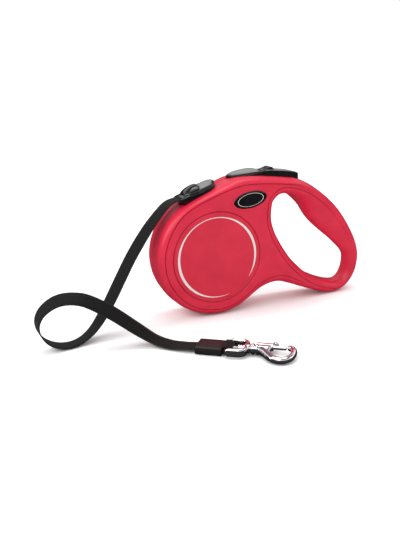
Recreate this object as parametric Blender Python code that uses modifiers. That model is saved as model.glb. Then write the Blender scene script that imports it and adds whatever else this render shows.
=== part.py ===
"""Retractable dog leash: a moulded casing with a hand grip, a spring reel of flat tape, a brake button and
a snap hook. The model is in metres, +Z up; the casing stands on the plane z = 0 with its box centred on the
origin. Lengths below are in millimetres, and MM turns them into metres."""

import math

import bmesh
import bpy
import numpy as np
from mathutils import Matrix, Vector

MM = 0.001
GAP = 0.3  # kept between pieces that touch

# Casing
DRUM_R = 43.5  # outside radius of the round reel housing
DRUM = Vector((-39.2, 0.0, DRUM_R))  # its axis, which runs along Y
HALF = 15.6  # half of the housing's thickness
GRIP_HALF = 8.5  # half of the grip's thickness at its far end
TAPER = (50.0, 112.0)  # the thickness falls between these two X, measured from the drum's axis
WALL = 2.2
RIM_FLAT = 0.5  # share of the half thickness over which the side wall is nearly flat

# Reel
TAPE_W, TAPE_T = 12.0, 0.7
ROLL_R, HUB_R, HUB_WALL = 37.6, 18.8, 1.4
FLANGE_R, FLANGE_T = 39.2, 1.2
FLANGE_Y = 6.9  # inner face of each flange
RATCHET_TEETH, RATCHET_R, RATCHET_DEPTH, RATCHET_T = 24, 39.4, 2.8, 1.7
AXLE_R = 3.0

# Brake
BUTTON_PIVOT = (19.0, 47.2)
BUTTON_HALF_W = 7.2
PAWL_PIVOT = (35.5, 39.0)
PAWL_TIP = (13.8, 38.2)
PAWL_Y = -9.8

# Trim
DISC_R = 32.5
BADGE = (26.0, 38.6, 12.4, 5.6, math.radians(8))  # centre x, z, half length, half height, tilt

# Hook, along its own axis, which lies on the ground and turns away from the casing
LINE_START = (-36.0, -65.5)  # where the tape enters the sleeve, from the drum's axis
LINE_TURN = math.radians(-36.9)
LINE_Z = 3.9  # height of the hook's axis
SLEEVE = (18.0, 14.6, 5.4)

# The rows go once round the hand opening: outline x, z | rim inset | edge of the opening x, z | swell,
# which is how far the wall of the opening stands into it at the middle plane.
HANDLE_ROWS = (
    (36.5, -28.8, 6.5, 56.5, -10.8, 3.0),
    (48.0, -26.8, 7.0, 62.5, -17.3, 3.0),
    (58.5, -29.8, 6.0, 70.0, -24.3, 3.0),
    (70.0, -34.6, 4.6, 79.0, -30.2, 3.2),
    (82.0, -39.4, 3.8, 88.0, -34.9, 3.4),
    (92.0, -42.6, 3.4, 97.0, -38.0, 3.6),
    (100.0, -43.5, 3.4, 104.0, -38.8, 3.9),
    (108.5, -41.4, 3.5, 109.6, -36.4, 4.1),
    (115.0, -36.0, 3.7, 113.6, -31.4, 4.3),
    (119.6, -28.0, 3.9, 115.9, -24.6, 4.5),
    (121.6, -17.5, 4.1, 116.4, -16.6, 4.9),
    (120.4, -8.5, 4.4, 114.8, -9.2, 6.8),
    (117.0, 0.5, 4.7, 111.4, -1.6, 9.3),
    (111.3, 10.9, 4.8, 106.2, 7.8, 12.3),
    (103.5, 22.0, 5.0, 99.0, 16.8, 14.0),
    (95.0, 30.8, 5.2, 91.3, 24.0, 14.0),
    (86.0, 38.2, 5.4, 83.3, 30.2, 12.0),
    (76.5, 44.6, 5.4, 75.3, 35.2, 7.5),
    (66.0, 49.4, 5.2, 67.6, 38.9, 3.8),
    (55.0, 51.4, 5.2, 60.5, 41.4, 3.1),
    (42.0, 53.2, 5.4, 53.5, 42.6, 3.0),
    (30.0, 54.3, 5.6, 48.5, 41.6, 3.0),
    (18.5, 53.7, 5.4, 44.6, 38.6, 3.0),
    (8.0, 50.2, 4.4, 42.3, 35.6, 3.0),
    (-3.0, 45.8, 3.6, 41.7, 33.6, 3.0),
)
# Angle on the drum | edge of the opening x, z.
DRUM_ROWS = (
    (112, 41.3, 31.6),
    (127, 41.0, 29.6),
    (142, 40.8, 27.6),
    (157, 40.7, 25.4),
    (172, 40.7, 23.1),
    (187, 40.9, 20.7),
    (202, 41.3, 18.2),
    (217, 42.0, 15.6),
    (232, 42.9, 12.8),
    (246, 44.0, 10.0),
    (258, 45.3, 7.2),
    (270, 46.9, 4.2),
    (282, 48.7, 1.0),
    (294, 50.6, -2.2),
    (306, 52.9, -5.7),
)
DRUM_RIM = 3.2
DRUM_SWELL = 3.0

# The free tape, from the guide to the sleeve, measured from the drum's axis.
TAPE_ROUTE = (
    (-21.3, 0.0, 42.3),
    (-31.0, -0.5, 38.6),
    (-42.0, -1.5, 28.0),
    (-50.6, -3.0, 18.0),
    (-59.8, -5.5, 6.3),
    (-68.4, -8.5, -6.0),
    (-77.6, -12.5, -19.0),
    (-85.2, -15.5, -29.0),
    (-92.6, -18.5, -36.4),
    (-100.2, -21.0, -40.8),
    (-108.7, -23.0, -42.6),
    (-117.3, -24.5, -41.0),
    (-124.5, -26.0, -36.0),
    (-128.5, -27.5, -29.0),
    (-129.1, -29.0, -21.5),
    (-126.0, -30.5, -14.8),
    (-120.0, -32.0, -9.8),
    (-113.2, -33.5, -7.3),
    (-105.3, -35.0, -7.4),
    (-96.6, -36.0, -10.4),
    (-82.7, -38.5, -19.6),
    (-67.5, -42.0, -32.2),
    (-57.6, -46.5, -39.4),
    (-49.8, -53.5, -41.6),
    (-43.0, -60.3, -41.0),
    (-36.3, -65.3, -40.6),
)
TAPE_STEPS = 3  # sections between two route points
# How far the tape is twisted about its own line at each route point, in degrees.
TAPE_TWIST = (
    0, -8, -15, -19, -20, -20, -19, -14, -6, 0, 0, 0, 3, 6, 9, 13, 18, 22, 26, 31, 32, 24, 12, 5, 0, 0,
)

SCREWS = ((9.0, 44.6), (47.5, -18.5), (92.0, 22.0), (118.6, -20.6))
SMALL_SCREW_X = 110.0  # a screw further along than this is a small one
BOSSED = SCREWS[0], SCREWS[2]

COLOURS = {
    "red": ((0.62, 0.03, 0.06, 1), 0.35, 0.0),
    "red_gloss": ((0.60, 0.03, 0.06, 1), 0.2, 0.0),
    "black": ((0.02, 0.02, 0.02, 1), 0.3, 0.0),
    "grey": ((0.12, 0.13, 0.13, 1), 0.6, 0.0),
    "white": ((0.75, 0.75, 0.73, 1), 0.4, 0.0),
    "steel": ((0.55, 0.56, 0.58, 1), 0.35, 1.0),
    "chrome": ((0.8, 0.8, 0.82, 1), 0.1, 1.0),
    "brass": ((0.7, 0.5, 0.2, 1), 0.3, 1.0),
    "tape": ((0.03, 0.035, 0.03, 1), 0.8, 0.0),
}


# ---------------------------------------------------------------- helpers

def clear_scene():
    for obj in list(bpy.data.objects):
        bpy.data.objects.remove(obj)


def collection(name):
    found = bpy.data.collections.new(name)
    bpy.context.scene.collection.children.link(found)
    return found


def material(name):
    found = bpy.data.materials.get(name)
    if found is None:
        colour, rough, metal = COLOURS[name]
        found = bpy.data.materials.new(name)
        found.use_nodes = True
        shader = found.node_tree.nodes["Principled BSDF"]
        shader.inputs["Base Color"].default_value = colour
        shader.inputs["Roughness"].default_value = rough
        shader.inputs["Metallic"].default_value = metal
    return found


def add(name, data, place, colour, group="Retractable leash"):
    """An object for a piece, at place in millimetres."""
    obj = bpy.data.objects.new(name, data)
    obj.location = Vector(place) * MM
    bpy.data.collections[group].objects.link(obj)
    if colour:
        data.materials.append(material(colour))
    return obj


def cutter(obj):
    for group in obj.users_collection:
        group.objects.unlink(obj)
    bpy.data.collections["Cutters"].objects.link(obj)
    obj.hide_render = True
    obj.display_type = "WIRE"
    return obj


def boolean(obj, tool, operation="DIFFERENCE"):
    modifier = obj.modifiers.new(operation.title(), "BOOLEAN")
    modifier.operation = operation
    modifier.solver = "EXACT"
    modifier.object = cutter(tool)


def smooth(obj, angle=35):
    obj.data.shade_smooth()
    obj.data.set_sharp_from_angle(angle=math.radians(angle))


def turned(name, profile, place, colour, steps=32, along="Y"):
    """A profile of (radius, position) turned round the named axis; it starts at the outer side's top."""
    mesh = bpy.data.meshes.new(name)
    points = [(r * MM, 0, h * MM) for r, h in profile]
    closed = profile[0][0] > 0
    edges = [(i, i + 1) for i in range(len(points) - 1)]
    if closed:
        edges.append((len(points) - 1, 0))
    mesh.from_pydata(points, edges, [])
    obj = add(name, mesh, place, colour)
    screw = obj.modifiers.new("Turn", "SCREW")
    screw.steps = screw.render_steps = steps
    screw.use_merge_vertices = True
    screw.merge_threshold = 1e-5
    screw.use_normal_calculate = True
    if along == "Y":
        obj.rotation_euler = (-math.pi / 2, 0, 0)
    bpy.context.view_layer.update()
    return to_mesh(obj)


def to_mesh(obj):
    """The object with its modifiers or curve made a welded mesh."""
    graph = bpy.context.evaluated_depsgraph_get()
    mesh = bpy.data.meshes.new_from_object(obj.evaluated_get(graph))
    work = bmesh.new()
    work.from_mesh(mesh)
    bmesh.ops.remove_doubles(work, verts=work.verts, dist=1e-6)
    bmesh.ops.recalc_face_normals(work, faces=work.faces)
    work.to_mesh(mesh)
    work.free()
    made = bpy.data.objects.new(obj.name, mesh)
    made.matrix_world = obj.matrix_world.copy()
    for group in obj.users_collection:
        group.objects.link(made)
    name = obj.name
    bpy.data.objects.remove(obj)
    made.name = name
    return made


def plate(name, outline, low, high, place, colour, bevel=0.0, smooth_outline=False):
    """A flat outline of (x, z) points, extruded along Y from low to high."""
    curve = bpy.data.curves.new(name, "CURVE")
    curve.dimensions = "2D"
    curve.fill_mode = "BOTH"
    curve.extrude = (high - low) / 2 * MM - bevel * MM
    if bevel:
        curve.bevel_depth = bevel * MM
        curve.bevel_resolution = 1
        curve.offset = -bevel * MM
    spline = curve.splines.new("POLY")
    spline.points.add(len(outline) - 1)
    for point, (x, z) in zip(spline.points, outline):
        point.co = (x * MM, z * MM, 0, 1)
    spline.use_cyclic_u = True
    obj = add(name, curve, place, colour)
    obj.rotation_euler = (math.pi / 2, 0, 0)
    obj.location.y += (low + high) / 2 * MM
    bpy.context.view_layer.update()
    return to_mesh(obj)


def cylinder(name, radius, low, high, place, colour, sides=24):
    """A cylinder along Y, at the middle of place's x and z."""
    bpy.ops.mesh.primitive_cylinder_add(
        vertices=sides,
        radius=radius * MM,
        depth=(high - low) * MM,
        location=(place[0] * MM, (place[1] + (low + high) / 2) * MM, place[2] * MM),
        rotation=(math.pi / 2, 0, 0),
    )
    return adopt(name, colour)


def box(name, low, high, colour):
    """A box between two corners in millimetres."""
    low, high = Vector(low), Vector(high)
    bpy.ops.mesh.primitive_cube_add(size=1, location=(low + high) / 2 * MM)
    bpy.context.object.dimensions = (high - low) * MM
    bpy.ops.object.transform_apply(location=False, rotation=False, scale=True)
    return adopt(name, colour)


def adopt(name, colour):
    obj = bpy.context.object
    obj.name = name
    for group in obj.users_collection:
        group.objects.unlink(obj)
    bpy.data.collections["Retractable leash"].objects.link(obj)
    if colour:
        obj.data.materials.append(material(colour))
    return obj


def drum_at(x, z, y=0.0):
    """A point given from the drum's axis, in world millimetres."""
    return Vector((DRUM.x + x, y, DRUM.z + z))


def loft(name, rings, place, colour, closed=True):
    """Faces between rings of equal size. The last ring joins the first, or both ends are capped."""
    size = len(rings[0])
    points = [tuple(Vector(p) * MM) for ring in rings for p in ring]
    faces = []
    count = len(rings)
    for i in range(count if closed else count - 1):
        a, b = i * size, (i + 1) % count * size
        for k in range(size):
            n = (k + 1) % size
            faces.append((a + k, a + n, b + n, b + k))
    if not closed:
        faces.append(tuple(range(size))[::-1])
        faces.append(tuple(range((count - 1) * size, count * size)))
    mesh = bpy.data.meshes.new(name)
    mesh.from_pydata(points, [], faces)
    obj = add(name, mesh, place, colour)
    work = bmesh.new()
    work.from_mesh(mesh)
    bmesh.ops.recalc_face_normals(work, faces=work.faces)
    work.to_mesh(mesh)
    work.free()
    return obj


# ---------------------------------------------------------------- casing

def half_thickness(x):
    share = min(1.0, max(0.0, (x - TAPER[0]) / (TAPER[1] - TAPER[0])))
    return HALF + (GRIP_HALF - HALF) * share * share * (3 - 2 * share)


def casing_rows():
    """All rows as (outline, rim, edge, swell), once round the opening."""
    rows = []
    for angle, x, z in DRUM_ROWS:
        turn = math.radians(angle)
        rows.append(((DRUM_R * math.cos(turn), DRUM_R * math.sin(turn)), DRUM_RIM, (x, z), DRUM_SWELL))
    for x, z, rim, ex, ez, swell in HANDLE_ROWS:
        rows.append(((x, z), rim, (ex, ez), swell))
    return rows


def loop_normals(points):
    """Unit normals of a closed loop, to the right of its direction of travel."""
    points = np.array(points)
    along = np.roll(points, -1, axis=0) - np.roll(points, 1, axis=0)
    along /= np.linalg.norm(along, axis=1)[:, None]
    return np.stack([along[:, 1], -along[:, 0]], axis=1)


def rim_share(depth):
    """How much of the rim inset is used at this share of the half thickness."""
    round_part = max(0.0, (depth - RIM_FLAT) / (1 - RIM_FLAT))
    return 0.1 * min(1.0, depth / RIM_FLAT) + 0.9 * (1 - math.sqrt(1 - round_part**2))


def throat_share(depth, swell, half):
    """Where the opening's wall stands between the middle plane, 0, and its edge, 1."""
    lip = min(half, 0.8 + 1.2 * swell) / half
    return max(0.0, (depth - 1 + lip) / lip) ** 1.7


def casing_half(name, side, colour):
    """One half of the casing's outer form."""
    rows = casing_rows()
    outline = np.array([row[0] for row in rows])
    edge = np.array([row[2] for row in rows])
    outward = loop_normals(outline)
    inward = -loop_normals(edge)
    rings = []
    for i, (_, rim, _, swell) in enumerate(rows):
        section = []
        for depth in (0.0, 0.3, RIM_FLAT, 0.72, 0.88, 0.97, 1.0):
            point = outline[i] - outward[i] * rim * rim_share(depth)
            section.append((point, depth))
        for depth in (1.0, 0.9, 0.75, 0.5, 0.25, 0.0):
            share = throat_share(depth, swell, half_thickness(edge[i][0]))
            point = edge[i] + inward[i] * swell * (1 - share)
            section.append((point, depth))
        ring = []
        for point, depth in section:
            y = GAP / 2 + depth * (half_thickness(point[0]) - GAP / 2)
            ring.append((point[0], side * y, point[1]))
        rings.append(ring)
    return loft(name, rings, DRUM, colour)


def room(name, first, last, deep, outer, inner, side, corners=()):
    """A hollow between two rows: outer mm inside the outline, inner mm clear of the opening's wall."""
    rows = casing_rows()
    outward = loop_normals([row[0] for row in rows])
    inward = -loop_normals([row[2] for row in rows])
    around = []
    back = []
    for i in range(first, last + 1):
        outline, _, edge, swell = rows[i]
        swollen = max(0.0, 0.62 * swell - 1.9) if deep < 8 else 0.0
        around.append(tuple(np.array(outline) - outward[i] * outer))
        back.append(tuple(np.array(edge) + inward[i] * (swollen - inner)))
    low, high = sorted((-side * 1.0, side * deep))
    return plate(name, [*around, *corners, *back[::-1]], low, high, DRUM, None)


def bosses_and_holes(shell, side):
    """Screw bosses, with their holes, and the seats of the axle and of the pins."""
    def tube(x, z, radius, low, high, sides=16):
        near, far = sorted((side * low, side * high))
        return cylinder("Boss", radius, near, far, drum_at(x, z), None, sides)

    for x, z in BOSSED:
        boolean(shell, tube(x, z, 3.0, GAP / 2 + 0.25, half_thickness(x) - 1.1), "UNION")
    boolean(shell, tube(0, 0, 6.0, 10.9, HALF - 1.5), "UNION")
    for x, z in SCREWS:
        half = half_thickness(x)
        share = 0.65 if x > SMALL_SCREW_X else 1.0
        boolean(shell, tube(x, z, 1.6 * share, -1.0, half - 2.0))
        if side > 0:
            boolean(shell, tube(x, z, 2.7 * share, half - 3.0, half + 2.0))
    boolean(shell, tube(0, 0, AXLE_R + GAP, 5.0, HALF - 2.0))
    boolean(shell, tube(*BUTTON_PIVOT, 1.2 + GAP, 2.0, 13.2))
    boolean(shell, tube(*PAWL_PIVOT, 1.2 + GAP, 2.0, 13.2))
    boolean(shell, tube(0, 0, DISC_R + GAP, HALF - 1.3, HALF + 2.0, 48))


def badge_outline(grow=0.0, points=28):
    x, z, a, b, tilt = BADGE
    found = []
    for k in range(points):
        t = 2 * math.pi * k / points
        u, v = (a + grow) * math.cos(t), (b + grow) * math.sin(t)
        turned_x = x + u * math.cos(tilt) - v * math.sin(tilt)
        turned_z = z + u * math.sin(tilt) + v * math.cos(tilt)
        found.append((turned_x, turned_z))
    return found


GUIDE_OUTLINE = (
    (-22.6, 41.2), (-21.6, 39.8), (-19.0, 38.9), (-15.0, 38.4), (-11.0, 38.6), (-3.0, 40.8),
    (3.2, 43.6), (4.7, 45.8), (4.6, 49.4), (2.4, 49.8), (-8.5, 47.6), (-14.0, 45.4), (-17.0, 44.2),
    (-21.4, 43.4),
)
HOOD_OUTLINE = (
    (-20.6, 44.4), (-19.8, 46.2), (-16.6, 48.4), (-12.4, 50.4), (-9.4, 51.0), (-8.2, 50.2), (-8.3, 48.3),
    (-13.8, 46.1), (-16.8, 44.9),
)
PAD_OUTLINE = ((-7.6, 48.4), (-7.4, 50.7), (-1.0, 52.8), (2.0, 53.1), (4.2, 52.3), (4.2, 50.5), (2.2, 50.5))
POCKET_OUTLINE = (
    (-26.0, 36.0), (-18.9, 38.2), (-11.0, 36.8), (-3.0, 40.2), (3.5, 43.1), (5.1, 45.6), (5.1, 52.6),
    (5.1, 58.0), (-26.0, 58.0),
)


def casing(side):
    """The front half for side -1, the rear half for side 1."""
    name = "front_shell" if side < 0 else "rear_shell"
    shell = casing_half(name, side, "red")
    drum = cylinder("Drum room", 41.1, *sorted((-side * 1.0, side * 11.6)), DRUM, None, 48)
    boolean(shell, drum)
    boolean(shell, cylinder("Drum floor", 39.6, *sorted((side * 11.0, side * 13.3)), DRUM, None, 48))
    rows = len(DRUM_ROWS)
    inner = (-8.0, 38.0), (-4.0, 30.0), (28.0, 26.0)
    boolean(shell, room("Brake room", rows + 18, rows + 24, 11.4, 3.6, 2.6, side, inner))
    boolean(shell, room("Grip room", rows + 12, rows + 19, 5.2, 3.0, 2.2, side))
    bosses_and_holes(shell, side)
    low, high = sorted((side * (HALF - 0.8), side * (HALF + 2.0)))
    boolean(shell, plate("Badge pocket", badge_outline(GAP), low, high, DRUM, None))
    low, high = sorted((-side * 1.0, side * 8.9))
    boolean(shell, plate("Guide pocket", POCKET_OUTLINE, low, high, DRUM, None))
    reach = BUTTON_HALF_W + 0.4
    slot_low = drum_at(12.9, 42.2, min(-side, side * reach))
    slot_high = drum_at(68.6, 66.0, max(-side, side * reach))
    boolean(shell, box("Button slot", slot_low, slot_high, None))
    return shell


def trim(side):
    prefix = "front" if side < 0 else "rear"
    low, high = sorted((side * (HALF - 1.0), side * (HALF + 0.05)))
    disc = cylinder(f"{prefix}_disc", DISC_R, low, high, DRUM, "red_gloss", 48)
    smooth(disc)
    low, high = sorted((side * (HALF - 0.5), side * (HALF + 0.8)))
    plate(f"{prefix}_badge", badge_outline(), low, high, DRUM, "black", 0.4)


def screws():
    """Each screw goes in from the rear, and its length follows the casing's thickness."""
    for number, (x, z) in enumerate(SCREWS, 1):
        half = half_thickness(x)
        top, tip = half - 3.0 + GAP, -(half - 3.6)
        share = 0.65 if x > SMALL_SCREW_X else 1.0
        profile = ((0, top + 1.5), (2.4, top + 1.5), (2.4, top), (1.25, top), (1.25, tip + 1.0), (0, tip))
        profile = [(radius * share, place) for radius, place in profile]
        screw = turned(f"case_screw_{number}", profile, drum_at(x, z), "steel", 16)
        smooth(screw)


# ---------------------------------------------------------------- reel

def reel():
    inner = AXLE_R + 0.05
    front = -FLANGE_Y
    profile = (
        (HUB_R, FLANGE_Y), (HUB_R, front), (FLANGE_R, front), (FLANGE_R, front - FLANGE_T),
        (AXLE_R + GAP, front - FLANGE_T), (AXLE_R + GAP, front), (HUB_R - HUB_WALL, front),
        (HUB_R - HUB_WALL, FLANGE_Y),
    )
    smooth(turned("reel_drum", profile, DRUM, "white", 40))
    low = FLANGE_Y + GAP
    profile = (
        (FLANGE_R, low + FLANGE_T), (FLANGE_R, low), (AXLE_R + GAP, low), (AXLE_R + GAP, low + FLANGE_T),
    )
    smooth(turned("reel_cover", profile, DRUM, "white", 40))
    profile = (
        (ROLL_R, TAPE_W / 2), (ROLL_R, -TAPE_W / 2), (HUB_R + GAP, -TAPE_W / 2), (HUB_R + GAP, TAPE_W / 2),
    )
    smooth(turned("tape_roll", profile, DRUM, "tape", 40))
    ratchet()
    profile = ((AXLE_R, 13.3), (AXLE_R, -13.3))
    axle = cylinder("axle", AXLE_R, -13.4, 13.4, DRUM, "steel", 24)
    smooth(axle)
    profile = (
        (6.0, FLANGE_Y - 0.6), (6.0, -FLANGE_Y + 0.6), (AXLE_R + GAP, -FLANGE_Y + 0.6),
        (AXLE_R + GAP, FLANGE_Y - 0.6),
    )
    smooth(turned("spring_arbor", profile, DRUM, "black", 24))
    power_spring()
    for side, name in ((-1, "front_washer"), (1, "rear_washer")):
        low, high = sorted((side * (8.4 + GAP), side * (8.4 + GAP + 1.2)))
        profile = ((5.2, high), (5.2, low), (AXLE_R + GAP, low), (AXLE_R + GAP, high))
        smooth(turned(name, profile, DRUM, "brass", 24))


def ratchet():
    """The toothed brake ring on the reel's front flange. Each tooth ramps up and drops at its end."""
    pitch = 2 * math.pi / RATCHET_TEETH
    start = math.radians(65.5)
    outline = []
    for k in range(RATCHET_TEETH):
        foot, top = start + k * pitch, start + (k + 0.93) * pitch
        foot_r = RATCHET_R - RATCHET_DEPTH
        for radius, angle in ((foot_r, foot), (RATCHET_R, top - 0.25 * pitch), (RATCHET_R, top)):
            outline.append((radius * math.cos(angle), radius * math.sin(angle)))
    high = -FLANGE_Y - FLANGE_T - GAP
    ring = plate("brake_ring", outline, high - RATCHET_T, high, DRUM, "black")
    boolean(ring, cylinder("Ring bore", 24.0, high - 5, high + 5, DRUM, None, 32))


def power_spring():
    """The flat spiral that winds the tape back, from the arbor out to the hub."""
    turns, start, end = 5, 6.9, HUB_R - HUB_WALL - 0.9
    steps = turns * 18
    curve = bpy.data.curves.new("power_spring", "CURVE")
    curve.dimensions = "3D"
    curve.extrude = 4.9 * MM
    curve.bevel_depth = 0.3 * MM
    curve.bevel_resolution = 0
    curve.use_fill_caps = True
    spline = curve.splines.new("POLY")
    spline.points.add(steps)
    for k, point in enumerate(spline.points):
        turn = 2 * math.pi * turns * k / steps
        radius = start + (end - start) * k / steps
        point.co = (radius * math.cos(turn) * MM, radius * math.sin(turn) * MM, 0, 1)
    obj = add("power_spring", curve, DRUM, "steel")
    obj.rotation_euler = (math.pi / 2, 0, 0)


# ---------------------------------------------------------------- tape guide

def tape_guide():
    guide = plate("tape_guide", GUIDE_OUTLINE, -8.4, 8.4, DRUM, "black")
    way = ((-26.0, 43.15), (-18.5, 43.15), (14.0, 36.8), (14.0, 34.3), (-18.5, 41.1), (-26.0, 41.1))
    slot = plate("Slot", way, -6.7, 6.7, DRUM, None)
    boolean(guide, slot)
    plate("guide_hood", HOOD_OUTLINE, -8.1, 8.1, DRUM, "black", 0.5)
    plate("guide_pad", PAD_OUTLINE, -7.6, 7.6, DRUM, "grey", 0.5)
    lead = ((7.4, 38.2), (-18.4, 42.6), (-20.6, 42.95), (-20.5, 42.25), (-18.5, 41.9), (7.3, 37.5))
    plate("tape_lead", lead, -TAPE_W / 2, TAPE_W / 2, DRUM, "tape")


# ---------------------------------------------------------------- brake

BUTTON_OUTLINE = (
    (14.4, 54.9), (17.0, 56.2), (21.0, 57.2), (27.0, 57.9), (33.0, 58.1), (37.5, 57.3), (40.5, 56.5),
    (50.5, 56.5), (56.0, 55.6), (62.0, 54.5), (67.6, 53.0), (68.0, 46.6), (60.0, 46.9), (42.0, 47.6),
    (24.0, 47.6), (21.6, 45.6), (19.0, 44.6), (16.2, 45.7), (15.0, 49.0),
)


def brake():
    pivot = drum_at(*BUTTON_PIVOT)
    outline = [(x - BUTTON_PIVOT[0], z - BUTTON_PIVOT[1]) for x, z in BUTTON_OUTLINE]
    button = plate("brake_button", outline, -BUTTON_HALF_W, BUTTON_HALF_W, pivot, "black", 0.6)
    foot_low, foot_high = drum_at(26.3, 41.6, -10.3), drum_at(29.2, 48.5, -5.5)
    boolean(button, box("Foot", foot_low, foot_high, None), "UNION")
    boolean(button, cylinder("Pin hole", 1.2 + GAP, -20, 20, pivot, None, 16))
    bore = cylinder("Spring seat", 3.0, -4, 4, drum_at(57.0, 46.0), None, 16)
    bore.rotation_euler = (0, 0, 0)
    boolean(button, bore)
    boolean(button, box("Catch slot", drum_at(43.6, 52.6, -2.4), drum_at(51.6, 60.0, 2.4), None))
    pin = cylinder("button_pin", 1.2, -12.9, 12.9, pivot, "steel", 16)
    smooth(pin)
    lock_catch()
    pawl()
    helix("button_spring", drum_at(57.0, 42.5), 7.2, 2.3, 0.35, 3.5)


def lock_catch():
    outline = ((42.6, 56.9), (43.4, 58.0), (46.8, 59.6), (48.2, 59.5), (49.6, 57.9), (50.2, 56.9))
    catch = plate("lock_catch", outline, -4.6, 4.6, DRUM, "black", 0.25)
    boolean(catch, box("Stem", drum_at(44.0, 53.2, -2.0), drum_at(48.0, 57.6, 2.0), None), "UNION")


def pawl():
    pivot = drum_at(*PAWL_PIVOT)
    px, pz = PAWL_PIVOT
    tip_x, tip_z = PAWL_TIP
    hub = np.radians((-150, -110, -60, -20, 20, 60, 100, 130))
    outline = [(2.4 * math.cos(a), 2.4 * math.sin(a)) for a in hub]
    outline += [(20.0 - px, 42.0 - pz), (tip_x - 1.6 - px, 41.4 - pz), (tip_x - 1.2 - px, tip_z + 0.4 - pz),
                (tip_x + 1.2 - px, tip_z - pz), (tip_x + 2.2 - px, 39.6 - pz), (22.0 - px, 40.0 - pz)]
    arm = plate("brake_pawl", outline, PAWL_Y - 0.8, PAWL_Y + 0.8, pivot, "steel")
    boolean(arm, cylinder("Pawl hub", 2.4, -10.6, 7.4, pivot, None, 16), "UNION")
    boolean(arm, cylinder("Pawl bore", 1.2 + GAP, -20, 20, pivot, None, 16))
    smooth(cylinder("pawl_pin", 1.2, -12.9, 12.9, pivot, "steel", 16))


def helix(name, base, height, radius, wire, turns, along=None):
    """A coil spring that stands on base."""
    steps = int(turns * 10)
    curve = bpy.data.curves.new(name, "CURVE")
    curve.dimensions = "3D"
    curve.bevel_depth = wire * MM
    curve.bevel_resolution = 0
    curve.use_fill_caps = True
    spline = curve.splines.new("POLY")
    spline.points.add(steps)
    for k, point in enumerate(spline.points):
        turn = 2 * math.pi * turns * k / steps
        rise = wire + (height - 2 * wire) * k / steps
        point.co = (radius * math.cos(turn) * MM, radius * math.sin(turn) * MM, rise * MM, 1)
    obj = add(name, curve, base, "steel")
    if along:
        obj.rotation_euler = along
    return obj


# ---------------------------------------------------------------- tape and hook

def smooth_route(points, steps):
    """A Catmull-Rom curve through the points, with steps sections between two of them."""
    points = [Vector(p) for p in points]
    ends = [2 * points[0] - points[1], *points, 2 * points[-1] - points[-2]]
    found = []
    for i in range(1, len(ends) - 2):
        a, b, c, d = ends[i - 1 : i + 3]
        for k in range(steps):
            t = k / steps
            found.append(0.5 * (2 * b + (c - a) * t + (2 * a - 5 * b + 4 * c - d) * t * t
                                + (3 * b - a - 3 * c + d) * t**3))
    found.append(points[-1])
    return found


def free_tape():
    """The tape outside the casing: its width twists a little and turns with the hook's line at the end."""
    line = smooth_route(TAPE_ROUTE, TAPE_STEPS)
    twists = smooth_route([(angle, 0, 0) for angle in TAPE_TWIST], TAPE_STEPS)
    rings = []
    for i, point in enumerate(line):
        along = (line[min(i + 1, len(line) - 1)] - line[max(i - 1, 0)]).normalized()
        turn = LINE_TURN * max(0.0, (i / (len(line) - 1) - 0.72) / 0.28)
        across = Vector((-math.sin(turn), math.cos(turn), 0))
        across = (across - along * across.dot(along)).normalized()
        across.rotate(Matrix.Rotation(math.radians(twists[i].x), 3, along))
        up = along.cross(across)
        w, t = across * TAPE_W / 2, up * TAPE_T / 2
        rings.append([point + w + t, point - w + t, point - w - t, point + w - t])
    loft("tape", rings, DRUM, "tape", closed=False)


def on_line(along, side=0.0, up=0.0):
    """A point of the hook's own line in world millimetres; up is from the hook's axis."""
    start = drum_at(*[LINE_START[0], 0])
    c, s = math.cos(LINE_TURN), math.sin(LINE_TURN)
    return Vector((start.x + along * c - side * s, LINE_START[1] + along * s + side * c, LINE_Z + up))


def line_block(name, low, high, colour, bevel=0.8):
    """A block on the hook's line between two corners (along, side, height from the ground)."""
    low, high = Vector(low), Vector(high)
    middle = (low + high) / 2
    bpy.ops.mesh.primitive_cube_add(size=1, location=on_line(middle.x, middle.y, middle.z - LINE_Z) * MM)
    bpy.context.object.dimensions = (high - low) * MM
    bpy.ops.object.transform_apply(location=False, rotation=False, scale=True)
    obj = adopt(name, colour)
    obj.rotation_euler = (0, 0, LINE_TURN)
    if bevel:
        edges = obj.modifiers.new("Edges", "BEVEL")
        edges.width = bevel * MM
        edges.segments = 2
    return obj


def line_tube(name, points, radius, colour, cyclic=False, resolution=1):
    """A wire through points (along, side, up) of the hook's line."""
    curve = bpy.data.curves.new(name, "CURVE")
    curve.dimensions = "3D"
    curve.bevel_depth = radius * MM
    curve.bevel_resolution = resolution
    curve.use_fill_caps = True
    spline = curve.splines.new("POLY")
    spline.points.add(len(points) - 1)
    for point, place in zip(spline.points, points):
        point.co = (*(Vector(place) * MM), 1)
    spline.use_cyclic_u = cyclic
    obj = add(name, curve, on_line(0), colour)
    obj.rotation_euler = (0, 0, LINE_TURN)
    return obj


def line_turn():
    return Matrix.Rotation(LINE_TURN, 4, "Z") @ Matrix.Rotation(math.pi / 2, 4, "Y")


def line_turned(name, profile, colour, at=0.0, side=0.0, steps=20):
    """A profile of (radius, position) turned round the hook's axis."""
    obj = turned(name, profile, on_line(at, side), colour, steps, "Z")
    obj.rotation_euler = line_turn().to_euler()
    return obj


EYE = (20.6, 32.4, 8.2, 1.45)  # start, end, half width of the wire's middle, wire radius


def hook_line():
    length, width, height = SLEEVE
    line_block("tape_sleeve", (GAP, -width / 2, 0.2), (length, width / 2, 0.2 + height), "black", 0.9)
    webbing_loop(length + GAP)
    swivel_eye()
    hook()
    bolt()


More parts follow.
